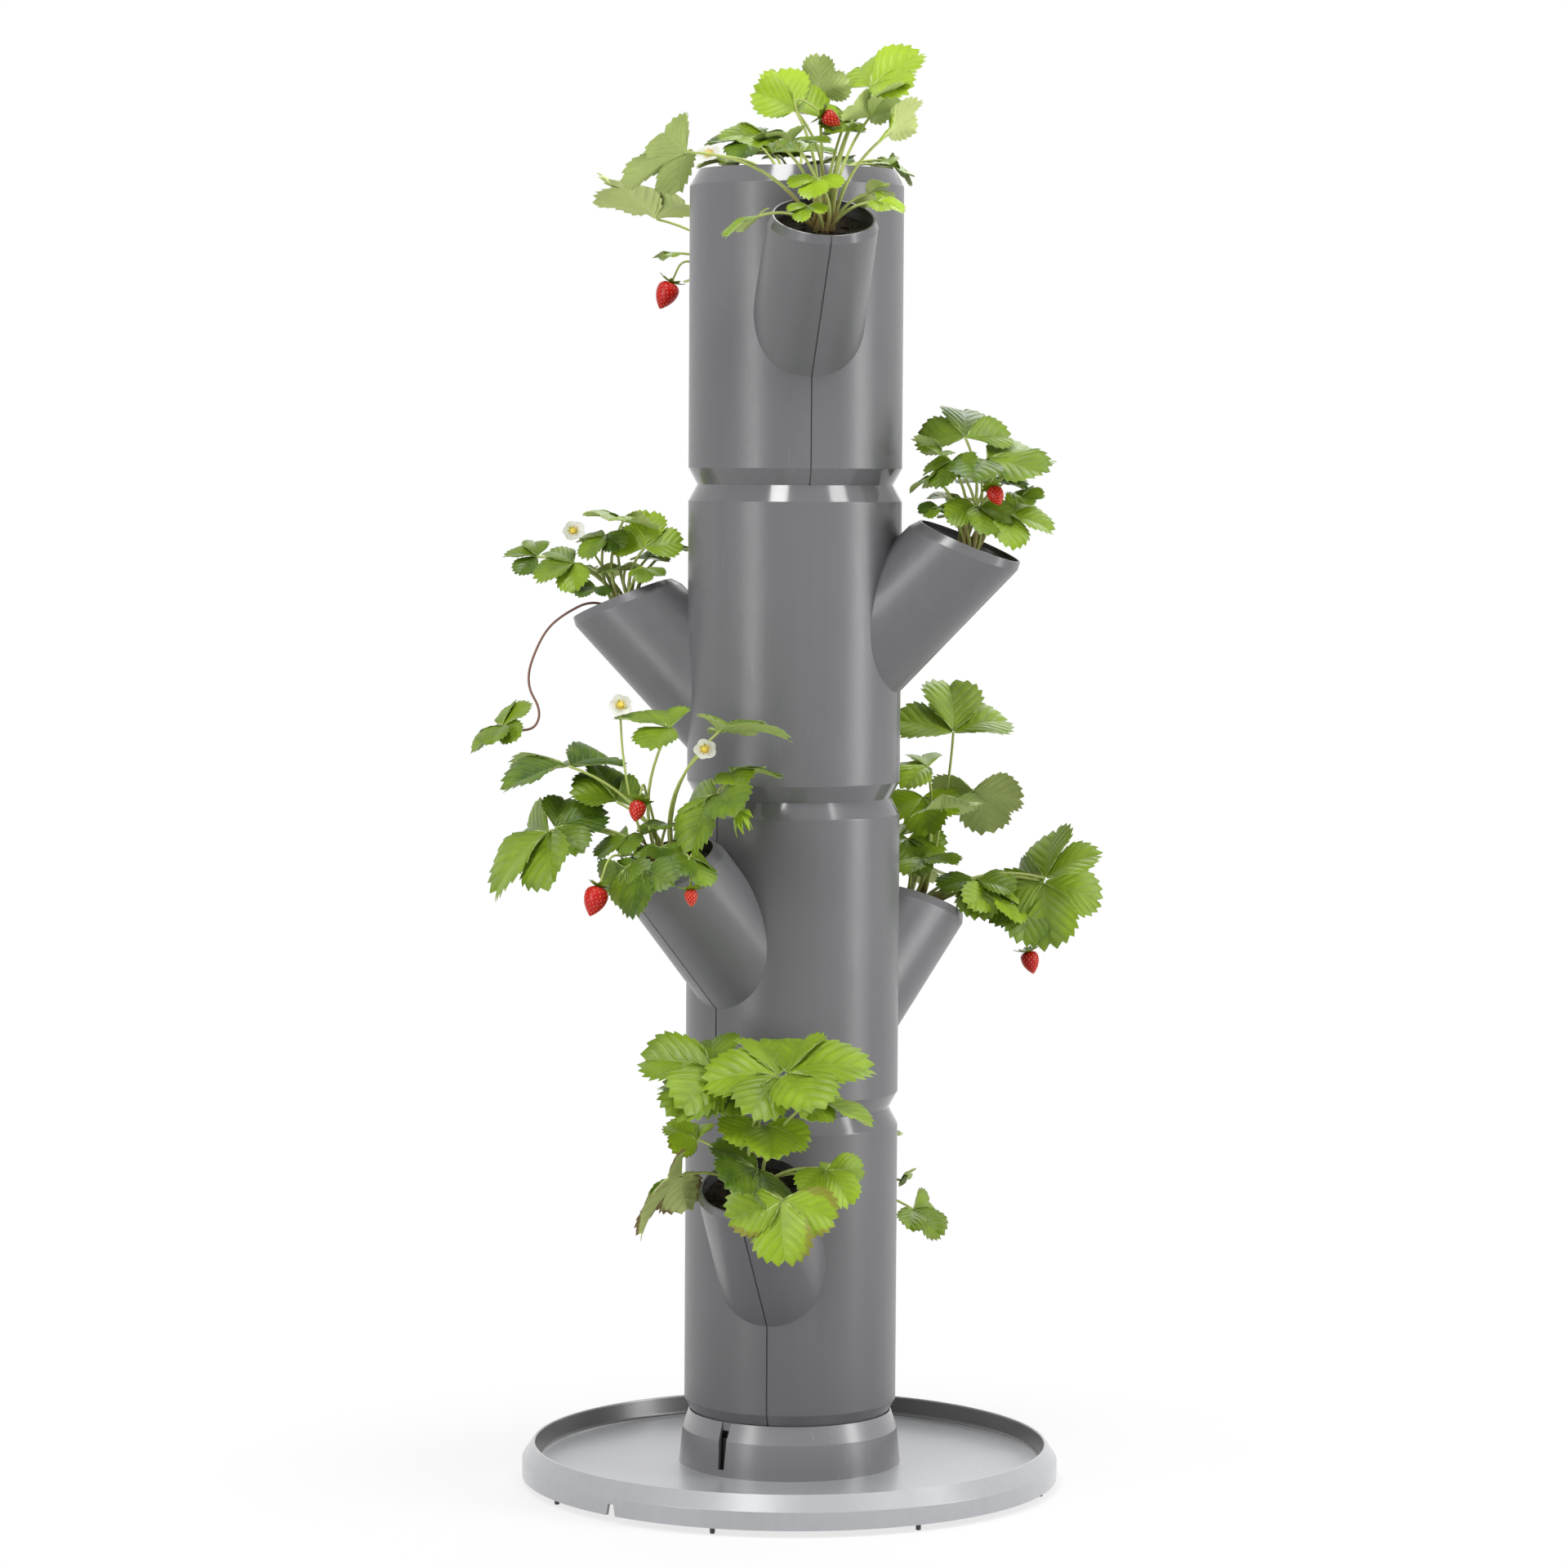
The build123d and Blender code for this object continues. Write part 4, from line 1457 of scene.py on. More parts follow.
GROWTHS: dict[str, Growth] = {
    "bottom_high": Growth(
        leaves=(
            Leaf(29, 21, 80, 97, 20, 30, 56),
            Leaf(-22, 18, 80, -85, 8, -32, 52),
            Leaf(24, 24, 79, -72, 9, -26, 50),
            Leaf(-21, 16, 70, -34, -24, -7, 46),
            Leaf(46, 14, 62, 80, -15, 10, 42),
            Leaf(12, 16, 43, 25, -25, 0, 38),
            Leaf(9, 20, 14, -21, -8, -35, 42),
            Leaf(30, 38, -3, 10, -70, 0, 44, wilt=0.5),
            Leaf(-46, 12, 7, -50, -47, 46, 50, wilt=0.8),
            Leaf(-38, 0, 30, -100, 20, -30, 26, wilt=0.5),
            Leaf(54, 10, 14, 60, -45, 20, 30),
            Leaf(50, 2, 8, 100, -15, 30, 22),
        ),
        tone=0.46,
    ),
    "bottom_low": Growth(
        leaves=(
            Leaf(-58, 30, -14, -85, -40, 20, 30, wilt=0.3),
            Leaf(-50, 25, 8, -90, 40, 0, 14),
            Leaf(-20, 20, 40, -40, 15, 0, 34),
            Leaf(15, 25, 45, 30, 20, 0, 36),
            Leaf(30, 10, 25, 80, 10, 0, 30),
            Leaf(0, 44, 15, 0, -15, 0, 32),
            Leaf(36, 34, 8, 50, -30, 0, 28),
        ),
        tone=0.45,
    ),
    "lower_high": Growth(
        leaves=(
            Leaf(54, 0, 91, 125, 6, -8, 48),
            Leaf(16, 10, 92, -50, 12, -15, 38),
            Leaf(52, -14, 63, 120, 0, 0, 34),
            Leaf(54, 0, 49, -16, -50, 0, 46),
            Leaf(-42, 50, 65, -105, 5, -8, 54),
            Leaf(-26, 20, 40, -96, 50, 6, 36),
            Leaf(-45, 65, 21, -40, -38, -20, 58),
            Leaf(-44, 61, 23, 135, 18, 45, 36),
            Leaf(22, 38, -2, 10, -62, 0, 34),
            Leaf(18, 20, 11, 45, -20, 0, 22),
            Leaf(6, 41, -2, 0, -82, 0, 30),
            Leaf(46, 20, 6, 100, -40, 0, 26),
            Leaf(8, 4, 26, 30, -8, 0, 24),
            Leaf(-40, 10, 45, -90, 15, 0, 34),
            Leaf(-10, 24, 18, -25, -35, 0, 26),
        ),
        berries=(
            Berry((3, 22, 58), (7, 30, 43), 15),
            Berry((0, 50, 9), (-1, 59, -14), 21),
            Berry((48, 22, 11), (54, 26, -14), 12),
        ),
        spent=(Berry((38, -22, 58), (46, -27, 36), 12),),
        flowers=(Flower((-12, 30, 107), 48, 18), Flower((57, 16, 79), 40, 30)),
        tone=0.26,
    ),
    "lower_low": Growth(
        leaves=(
            Leaf(-13, 25, 122, 45, 50, 0, 50),
            Leaf(-4, 8, 97, 120, 0, -20, 34),
            Leaf(-10, 16, 67, -90, 20, 0, 34),
            Leaf(-19, 40, 80, 11, -46, -2, 42),
            Leaf(-8, 0, 31, -90, -10, 0, 30),
            Leaf(-32, 30, 16, -135, -40, 0, 34),
            Leaf(-42, 38, 7, -100, -35, 0, 34),
            Leaf(-67, 66, 17, 38, 50, -38, 48),
            Leaf(-64, 68, 14, -130, -62, 0, 50),
            Leaf(-56, 60, 4, -135, -55, 0, 40),
            Leaf(30, 15, 45, 60, 15, 0, 34),
            Leaf(25, 30, 20, 30, -10, 0, 28),
            Leaf(12, 20, 74, -135, -45, 0, 34),
            Leaf(15, 7, 44, -120, -35, 0, 32),
        ),
        berries=(Berry((-46, 54, 9), (-54, 62, -36), 17),),
        tone=0.52,
    ),
    "upper_high": Growth(
        leaves=(
            Leaf(-2, -4, 72, 104, 40, 0, 40),
            Leaf(-10, -18, 62, -150, 20, 0, 24),
            Leaf(-6, 12, 57, -20, -12, 15, 46),
            Leaf(-12, -24, 45, -170, -25, 0, 20),
            Leaf(-14, 8, 24, -60, -42, 0, 30),
            Leaf(-4, 27, 19, 10, -22, 40, 34),
            Leaf(10, 34, 31, 10, 10, 20, 16),
            Leaf(-14, -20, 24, -100, -30, 0, 16),
            Leaf(-6, -8, 17, -90, 0, 0, 16),
            Leaf(25, 5, 40, 60, 15, 0, 34),
            Leaf(30, -12, 28, 120, 5, 0, 28),
            Leaf(20, 25, 50, 40, 20, 0, 32),
            Leaf(-16, -10, 56, -110, -40, 0, 26),
        ),
        berries=(Berry((-6, 10, 52), (-14, 18, 38), 15),),
        tone=0.33,
    ),
    "upper_low": Growth(
        leaves=(
            Leaf(5, -2, 55, 90, 15, 0, 32),
            Leaf(10, -19, 36, -100, 65, 0, 30),
            Leaf(-12, -35, 36, -110, 5, 0, 18),
            Leaf(12, 32, 25, 30, -15, -30, 30),
            Leaf(0, 63, 29, 0, 5, -35, 24),
            Leaf(8, 10, 45, 60, -30, 0, 26),
            Leaf(20, -24, 22, 90, -35, 0, 16),
            Leaf(18, 14, 8, 60, -20, 0, 18),
            Leaf(0, -2, 20, 80, 10, 0, 22),
            Leaf(-25, 10, 38, -60, 10, 0, 32),
            Leaf(-28, 28, 20, -40, -5, 0, 28),
            Leaf(-10, -15, 28, -130, 20, 0, 22),
        ),
        flowers=(Flower((14, 32, 47), 104, 30),),
        runner=(
            (8, 16, 1),
            (8, 44, -13),
            (8, 58, -28),
            (8, 70, -60),
            (8, 56, -82),
            (8, 66, -98),
            (8, 86, -92),
        ),
        runner_leaves=(
            Leaf(8, 86, -92, 170, 48, 50, 26),
            Leaf(8, 86, -92, 10, -30, -20, 30),
        ),
        tone=0.42,
    ),
    "top_high": Growth(
        leaves=(
            Leaf(-20, 5, 70, -160, 65, 0, 37),
            Leaf(-2, -20, 85, 0, 75, 0, 26),
            Leaf(32, -5, 88, 95, 45, 20, 41),
            Leaf(30, 6, 67, 45, 50, 0, 34),
            Leaf(45, 0, 57, 60, 60, 0, 30),
            Leaf(-24, 12, 50, -20, 5, 0, 30),
            Leaf(-95, 12, 41, -92, -27, 24, 48),
            Leaf(-8, 18, 24, -20, -35, 0, 22),
            Leaf(-47, 12, -1, -80, -32, 10, 26),
            Leaf(34, 14, 10, 70, -20, 20, 20),
            Leaf(14, -15, 58, 150, 40, 0, 18),
            Leaf(30, -4, 16, 110, 5, -20, 20),
            Leaf(-14, 20, 6, -30, -30, 0, 16),
            Leaf(20, -10, 64, -100, 10, -25, 34),
            Leaf(-36, 0, 52, -95, 10, -14, 36),
        ),
        berries=(Berry((-22, 6, 82), (-3, 9, 69), 14),),
        tone=0.5,
    ),
    "top_low": Growth(
        leaves=(
            Leaf(83, 10, 53, 130, 38, -4, 56),
            Leaf(73, 0, 28, 100, -10, 0, 14),
            Leaf(-30, 25, 40, -60, 20, 0, 34),
            Leaf(20, 35, 45, 20, 25, 0, 36),
            Leaf(-15, 47, 20, 0, -5, 0, 30),
            Leaf(36, 33, 15, 60, -10, 0, 26),
        ),
        berries=(Berry((64, 5, 26), (72, 5, 8), 21),),
        tone=0.55,
    ),
    "top_mouth": Growth(
        leaves=(
            Leaf(-26, -28, 46, -100, 5, -20, 34),
            Leaf(-12, -35, 40, 180, 40, 0, 24),
            Leaf(23, -25, 34, 120, 10, 0, 24),
            Leaf(60, -20, 32, 90, 0, 0, 26),
            Leaf(70, -34, 35, 100, -45, 0, 24),
            Leaf(-42, -30, 33, -100, 5, 0, 24),
            Leaf(-5, -50, 38, 180, 15, 0, 26),
            Leaf(6, -20, 40, 150, 20, 0, 28),
        ),
        flowers=(Flower((-61, -10, 36), -20, 40),),
        tone=0.35,
    ),
}


@dataclass(frozen=True)
class TowerSizes:
    """Sizes of the tower that its plants and finishes go by, in metres and degrees."""

    turns: dict[str, float] = field(
        default_factory=lambda: {"bottom": -12.5, "lower": -45.0, "upper": 76.0, "top": 8.2}
    )
    storey_height: float = 0.2195
    tube_radius: float = 0.075
    mouth_reach: float = 0.051
    high_mouth: float = 0.181
    low_mouth: float = 0.138
    mouth_tilt: float = 22.5
    pocket_soil_drop: float = 0.012
    pocket_soil_radius: float = 0.0325
    top_soil_drop: float = 0.026
    top_soil_radius: float = 0.062


@dataclass
class Mouth:
    """Opening that a plant grows from, with its directions."""

    storey: str
    side: Side
    base: float
    sizes: TowerSizes

    def __post_init__(self) -> None:
        """Work out the mouth's place and its directions in the part's frame."""
        sizes = self.sizes
        turn = math.radians(sizes.turns[self.storey] + (180.0 if self.side is Side.LOW else 0.0))
        self.outward = np.array((math.sin(turn), -math.cos(turn), 0.0))
        self.sideways = np.cross(UP, self.outward)
        if self.side is Side.MOUTH:
            self.facing = UP
            self.middle = UP * (self.base + sizes.storey_height - sizes.top_soil_drop)
            self.soil = self.middle
            self.soil_radius = sizes.top_soil_radius
            return
        tilt = math.radians(sizes.mouth_tilt)
        level = self.base + (sizes.high_mouth if self.side is Side.HIGH else sizes.low_mouth)
        self.facing = self.outward * math.sin(tilt) + UP * math.cos(tilt)
        self.middle = self.outward * (sizes.tube_radius + sizes.mouth_reach) + UP * level
        self.soil = self.middle - self.facing * sizes.pocket_soil_drop
        self.soil_radius = sizes.pocket_soil_radius

    @property
    def ahead(self) -> np.ndarray:
        """Direction across the soil, away from the tower."""
        return np.cross(self.sideways, self.facing)

    def point(self, sideways: float, outward: float, up: float) -> np.ndarray:
        """Place at these distances from the mouth's middle, given in millimetres."""
        return self.middle + (self.sideways * sideways + self.outward * outward + UP * up) * MM

    def direction(self, turn: float, rise: float) -> np.ndarray:
        """Direction that a blade or a flower takes.

        Args:
            turn: turn from outward towards sideways, in degrees.
            rise: rise, in degrees.

        Returns:
            The direction.
        """
        turned, raised = math.radians(turn), math.radians(rise)
        level = self.outward * math.cos(turned) + self.sideways * math.sin(turned)
        return level * math.cos(raised) + UP * math.sin(raised)

    def rim(self) -> Rim:
        """The mouth as a finish needs it."""
        return Rim(tuple(self.middle), tuple(self.facing))


@dataclass
class Plant:
    """One strawberry plant: crown, stalks, leaves and runner in one piece, berries and flowers apart."""

    name: str
    mouth: Mouth
    growth: Growth
    palette: Palette
    leaflet: LeafletForm = LeafletForm()
    calyx: CalyxForm = CalyxForm()
    berry: BerryForm = BerryForm()
    flower: FlowerForm = FlowerForm()
    crown_radius: float = 0.008
    crown_ring: float = 0.0065
    crown_height: float = 0.009
    crown_stretch: float = 1.05
    crown_sunk: float = 0.125
    crown_roundness: float = 2.4
    crown_knobs: Span = (0.14, 0.05)
    crown_sides: int = 14
    crown_rings: int = 8
    leaflet_spread: float = 70.0
    side_leaflet_share: float = 0.88
    leaflet_gap: float = 0.02
    leaflet_turn: float = 5.0
    leaflet_dip: Span = (-9.0, 11.0)
    leaflet_tip: float = 18.0
    leaflet_length: Span = (0.94, 1.0)
    # spreads of tone between leaves and between leaflets: random tone that also paints light and shade
    leaf_tone_and_shade: Span = (0.3, 1.7)
    leaflet_tone_and_shade: float = 0.16
    leaf_thickness: float = 0.00045
    margin_thinning: float = 0.65
    full_relief_length: float = 0.05
    stalk_foot: float = 0.0017
    stalk_tip: float = 0.00095
    stalk_taper: float = 2.2
    berry_stalk_foot: float = 0.0013
    flower_stalk_foot: float = 0.0012
    thin_stalk_tip: float = 0.0008
    hook: float = 0.012
    hook_lean: float = 0.3
    hook_steps: int = 7
    rise_steps: int = 10
    runner_steps: int = 9
    runner_radius: float = 0.0009
    sepal_length: float = 0.0095
    flower_sepal_share: float = 0.6
    inner_sepal_share: float = 0.7

    def __post_init__(self) -> None:
        """Start this plant's own run of chance values."""
        self.chance = random.Random(self.name)
        self.foliage = Sculpt(f"{self.name}_foliage")
        self.body = f"{self.mouth.storey}_storey"

    def roots(self, ends: Sequence[Sequence[float]]) -> list[np.ndarray]:
        """Share a ring inside the crown out among the stalks, by their directions.

        Args:
            ends: how far each stalk goes sideways and outward.

        Returns:
            The foot of each stalk.
        """
        heart = self.mouth.soil + self.mouth.facing * (self.crown_height / 2)
        order = sorted(range(len(ends)), key=lambda index: math.atan2(ends[index][0], ends[index][1]))
        places: dict[int, np.ndarray] = {}
        for rank, index in enumerate(order):
            turn = FULL_TURN * (rank + 0.5) / len(ends) - math.pi
            ring = self.mouth.ahead * math.cos(turn) + self.mouth.sideways * math.sin(turn)
            places[index] = heart + ring * self.crown_ring
        return [places[index] for index in range(len(ends))]

    def add_leaflet(
        self, base: np.ndarray, ahead: np.ndarray, face: np.ndarray, length: float, tone: Triple
    ) -> None:
        """Add one leaflet.

        Args:
            base: where the leaflet starts.
            ahead: direction of its midrib.
            face: direction that its upper face looks.
            length: length of its midrib, in metres.
            tone: tone, wilt and relief.
        """
        shares, spots = self.leaflet.formed(self.chance)
        grid = laid(base, length, shares, (ahead, np.cross(face, ahead), face))
        thickness = self.leaf_thickness * (1 - self.margin_thinning * np.abs(spots[..., 1]) ** 3)
        self.foliage.sheet(grid, spots, thickness, (FoliageSlot.TOP, FoliageSlot.UNDER), tone)

    def add_leaf(self, leaf: Leaf) -> np.ndarray:
        """Add the three leaflets of a leaf.

        Args:
            leaf: the leaf.

        Returns:
            The place where its stalk ends.
        """
        chance = self.chance
        base = self.mouth.point(leaf.sideways, leaf.outward, leaf.up)
        ahead = self.mouth.direction(leaf.turn, leaf.rise)
        face = turned_about(self.mouth.direction(leaf.turn, leaf.rise + 90.0), ahead, leaf.roll)
        leaf_tone_and_shade = self.growth.tone * chance.uniform(*self.leaf_tone_and_shade)
        for spread, share in (
            (0.0, 1.0),
            (self.leaflet_spread, self.side_leaflet_share),
            (-self.leaflet_spread, self.side_leaflet_share),
        ):
            spread += chance.uniform(-self.leaflet_turn, self.leaflet_turn)
            dip = chance.uniform(*self.leaflet_dip)
            level = turned_about(ahead, face, spread)
            hinge = np.cross(face, level)
            forward, facing = (turned_about(vector, hinge, dip) for vector in (level, face))
            tipped = turned_about(facing, forward, chance.uniform(-self.leaflet_tip, self.leaflet_tip))
            tone = leaf_tone_and_shade + chance.uniform(-self.leaflet_tone_and_shade, self.leaflet_tone_and_shade)
            start = base + forward * (self.leaflet_gap * leaf.length * MM)
            length = leaf.length * MM * share * chance.uniform(*self.leaflet_length)
            relief = min(1.0, length / self.full_relief_length) ** 2
            marks = (min(1.0, max(0.0, tone)), leaf.wilt, relief)
            self.add_leaflet(start, forward, tipped, length, marks)
        return base

    def add_stalk(
        self, path: np.ndarray, foot: float, tip: float, slot: FoliageSlot = FoliageSlot.STALK
    ) -> None:
        """Add a stalk that narrows from its foot to its tip.

        Args:
            path: points along its middle.
            foot: radius at its foot.
            tip: radius at its tip.
            slot: its finish.
        """
        share = np.linspace(0.0, 1.0, len(path))
        radii = tip + (foot - tip) * (1 - share) ** self.stalk_taper
        self.foliage.tube(path, radii, slot, (self.growth.tone, 0.0, 0.0))

    def add_crown(self) -> None:
        """Add the knobby crown that the stalks rise from."""
        spin = steps_round(self.crown_sides)
        around = circle(self.crown_sides, self.mouth.sideways, -self.mouth.ahead)
        large, small = self.crown_knobs
        rings = []
        for share in np.linspace(0.0, 1.0, self.crown_rings):
            dome = math.sqrt(max(0.0, 1 - share**self.crown_roundness)) if share > 0 else 0.0
            width = self.crown_radius * dome
            knobs = 1 + large * np.sin(5 * spin + 3 * share) + small * np.sin(9 * spin)
            level = self.crown_height * self.crown_stretch * max(share - self.crown_sunk, 0.0)
            rings.append(self.mouth.soil + self.mouth.facing * level + width * knobs[:, None] * around)
        self.foliage.turned(rings, FoliageSlot.CROWN)

    def add_hanger(self, root: np.ndarray, berry: Berry) -> Stub:
        """Add the hooked stalk of a berry or a spent flower.

        Args:
            root: place in the crown.
            berry: what hangs on the stalk.

        Returns:
            The stalk's end and the direction that it hangs in.
        """
        top, end = self.mouth.point(*berry.top), self.mouth.point(*berry.end)
        axis = unit(end - top)
        near = top + unit(root - top) * self.hook
        after = top + axis * min(self.hook, 0.5 * float(np.linalg.norm(end - top)))
        rise = bowed(root, near, self.mouth.outward * self.hook_lean, self.rise_steps)
        bend = rounded([near, top, after], self.hook_steps)
        path = np.concatenate((rise[:-1], bend, end[None]))
        self.add_stalk(path, self.berry_stalk_foot, self.thin_stalk_tip)
        return end, axis

    def add_calyx(self, stub: Stub, length: float, cup: float, tone: float) -> None:
        """Add a ring of sepals at the end of a stalk.

        Args:
            stub: end of the stalk and the direction that it grows in.
            length: length of a sepal.
            cup: how far the sepals bend along that direction; below 0 they bend back.
            tone: how bright their green is, from 0 to 1.
        """
        self.calyx.add(self.foliage, self.chance, stub, length, cup, tone)

    def build_foliage(self) -> tuple[list[Stub], list[Stub]]:
        """Build crown, stalks, leaves, calyxes and runner.

        Returns:
            Place and direction of the end of each stalk that carries a berry, and of each with a flower.
        """
        growth, mouth = self.growth, self.mouth
        ends: list[Sequence[float]] = [(leaf.sideways, leaf.outward) for leaf in growth.leaves]
        ends += [berry.top for berry in (*growth.berries, *growth.spent)]
        ends += [flower.place for flower in growth.flowers]
        ends += growth.runner[:1]
        roots = iter(self.roots(ends))
        self.add_crown()
        for leaf in growth.leaves:
            end = self.add_leaf(leaf)
            self.add_stalk(bowed(next(roots), end, mouth.outward), self.stalk_foot, self.stalk_tip)
        berry_stubs: list[Stub] = []
        for berry in growth.berries:
            berry_stubs.append(self.add_hanger(next(roots), berry))
            self.add_calyx(berry_stubs[-1], self.sepal_length, cup=-0.32, tone=0.3)
        for bud in growth.spent:
            stub = self.add_hanger(next(roots), bud)
            self.add_calyx(stub, bud.length * MM, cup=1.1, tone=1.0)
            self.add_calyx(stub, self.inner_sepal_share * bud.length * MM, cup=1.8, tone=1.0)
        flower_stubs: list[Stub] = []
        for flower in growth.flowers:
            path = bowed(next(roots), mouth.point(*flower.place), mouth.outward)
            self.add_stalk(path, self.flower_stalk_foot, self.thin_stalk_tip)
            flower_stubs.append((path[-1], mouth.direction(flower.turn, flower.rise)))
            self.add_calyx(flower_stubs[-1], self.flower_sepal_share * self.sepal_length, cup=0.1, tone=0.6)
        if growth.runner:
            corners = [next(roots), *(mouth.point(*spot) for spot in growth.runner)]
            path = rounded(corners, self.runner_steps)
            self.add_stalk(path, self.runner_radius, self.runner_radius, FoliageSlot.RUNNER)
        for leaf in growth.runner_leaves:
            self.add_leaf(leaf)
        return berry_stubs, flower_stubs

    def build_berries(self, stubs: Sequence[Stub]) -> Sculpt:
        """Build the berries with their dimples and seeds.

        Args:
            stubs: place and direction of each berry's stalk end.

        Returns:
            The collected forms.
        """
        fruit = Sculpt(f"{self.name}_fruit")
        for stub, berry in zip(stubs, self.growth.berries):
            self.berry.add(fruit, stub, berry.length)
        return fruit

    def build_flowers(self, stubs: Sequence[Stub]) -> Sculpt:
        """Build the open flowers.

        Args:
            stubs: place and direction of each flower's stalk end.

        Returns:
            The collected forms.
        """
        blossoms = Sculpt(f"{self.name}_blossoms")
        for stub in stubs:
            self.flower.add(blossoms, self.chance, stub)
        return blossoms

    def build(self) -> list[bpy.types.Object]:
        """Build the plant's pieces in place of its solids.

        Returns:
            The pieces.
        """
        palette = self.palette
        berry_stubs, flower_stubs = self.build_foliage()
        leaves = self.foliage.build(
            [palette.leaf_top, palette.leaf_under, palette.stalk, palette.crown, palette.runner]
        )
        dressed = [(leaves, f"{self.name}_plant", "foliage")]
        if berry_stubs:
            berries = self.build_berries(berry_stubs).build([palette.berry, palette.seed])
            dressed.append((berries, f"{self.name}_berries", "berry"))
        if flower_stubs:
            flowers = self.build_flowers(flower_stubs).build([palette.petal, palette.flower_heart])
            dressed.append((flowers, f"{self.name}_flowers", "petal"))
        for piece, node, slot in dressed:
            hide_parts(node)
            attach(piece, self.body)
        return [piece for piece, _, _ in dressed]


@dataclass
class Mulch:
    """Loose soil in a mouth: a low uneven mound with crumbs on it."""

    name: str
    mouth: Mouth
    palette: Palette
    mound: float = 0.004
    mound_sides: int = 40
    mound_rings: int = 12
    mound_depth: float = 0.0006
    mound_lumps: Span = (0.35, 0.3)
    lump_share: float = 0.3
    crumbs: int = 70
    crumb_sizes: Span = (0.0009, 0.0028)
    crumb_spread: Span = (0.03, 0.82)
    crumb_rough: Span = (0.7, 1.2)
    crumb_sides: int = 6
    crumb_rings: int = 5
    crumb_flatness: float = 0.8
    crumb_level: float = 0.8

    def build(self) -> bpy.types.Object:
        """Build the soil's top.

        Returns:
            The piece.
        """
        chance = random.Random(f"{self.name} soil")
        soil = Sculpt(f"{self.name}_mulch")
        mouth = self.mouth
        self.add_mound(soil)
        for _ in range(self.crumbs):
            turn = chance.uniform(0.0, FULL_TURN)
            share = math.sqrt(chance.uniform(*self.crumb_spread))
            size = chance.uniform(*self.crumb_sizes)
            out = math.cos(turn) * mouth.sideways + math.sin(turn) * mouth.ahead
            level = self.mound * (1 - share**2) * self.crumb_level
            spot = mouth.soil + mouth.facing * level + mouth.soil_radius * share * out
            self.add_crumb(soil, chance, spot, size)
        piece = soil.build([self.palette.soil])
        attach(piece, f"{mouth.storey}_storey")
        return piece

    def add_mound(self, soil: Sculpt) -> None:
        """Add the mound, closed underneath.

        Args:
            soil: the mouth's loose soil.
        """
        mouth = self.mouth
        spin = steps_round(self.mound_sides)
        around = circle(self.mound_sides, mouth.sideways, mouth.ahead)
        large, small = self.mound_lumps
        rings = [mouth.soil - mouth.facing * self.mound_depth + 0 * around]
        for share in np.linspace(1.0, 0.0, self.mound_rings):
            lumps = large * np.sin(5 * spin + 9 * share) + small * np.sin(11 * spin - 14 * share + 1)
            height = self.mound * (1 - share**2) * (1 - self.lump_share * (1 - lumps * share))
            rings.append(mouth.soil + mouth.soil_radius * share * around + np.outer(height, mouth.facing))
        soil.turned(rings, SoilSlot.SOIL)

    def add_crumb(self, soil: Sculpt, chance: random.Random, spot: np.ndarray, size: float) -> None:
        """Add one rough crumb.

        Args:
            soil: the mouth's loose soil.
            chance: the mouth's chance values.
            spot: the crumb's middle.
            size: its radius.
        """
        around = circle(self.crumb_sides, self.mouth.sideways, -self.mouth.ahead)
        rings = []
        for share in np.linspace(-1.0, 1.0, self.crumb_rings):
            width = size * math.sqrt(1 - share**2)
            rough = [chance.uniform(*self.crumb_rough) if width > 0 else 1.0 for _ in around]
            middle = spot + self.mouth.facing * (size * share * self.crumb_flatness)
            rings.append(middle + width * np.array(rough)[:, None] * around)
        soil.turned(rings, SoilSlot.SOIL)


# Tower, stage and main


@dataclass
class Tower:
    """The mouldings of the planter, which keep their solids and get their finishes."""

    nodes: dict[str, bpy.types.Object]
    bases: dict[str, float]
    sizes: TowerSizes
    palette: Palette
    tray_colour: Colour = (0.35, 0.356, 0.375)
    tray_scuffed: Colour = (0.5, 0.5, 0.51)
    # painted shade: the feet are near-black for the shade under the tray
    foot_shade_colour: Colour = (0.06, 0.06, 0.065)

    def mouth(self, storey: str, side: Side) -> Mouth:
        """Mouth of a storey."""
        return Mouth(storey, side, self.bases[storey], self.sizes)

    def dress_node(self, node: str, finish: bpy.types.Material) -> None:
        """Give one solid its finish.

        Args:
            node: name of the solid.
            finish: its material.
        """
        mesh = self.nodes[node].data
        mesh.materials.clear()
        mesh.materials.append(finish)

    def dress(self) -> None:
        """Give every moulding and the soil its finish."""
        height = self.sizes.storey_height
        for storey, base in self.bases.items():
            rims = tuple(self.mouth(storey, side).rim() for side in (Side.HIGH, Side.LOW))
            shell = Moulding(f"{storey}_shell", base=base, height=height, rims=rims).make()
            self.dress_node(f"{storey}_left_shell", shell)
            self.dress_node(f"{storey}_right_shell", shell)
            self.dress_node(f"{storey}_soil", self.palette.soil)
        tray = TrayMoulding(
            "tray",
            colour=self.tray_colour,
            scuffed=self.tray_scuffed,
            roughness=0.36,
            coat=0.85,
            coat_roughness=0.26,
        )
        self.dress_node("drip_tray", tray.make())
        self.dress_node("tray_feet", Moulding("feet", colour=self.foot_shade_colour, roughness=0.6).make())
        self.dress_node("base_soil", self.palette.soil)


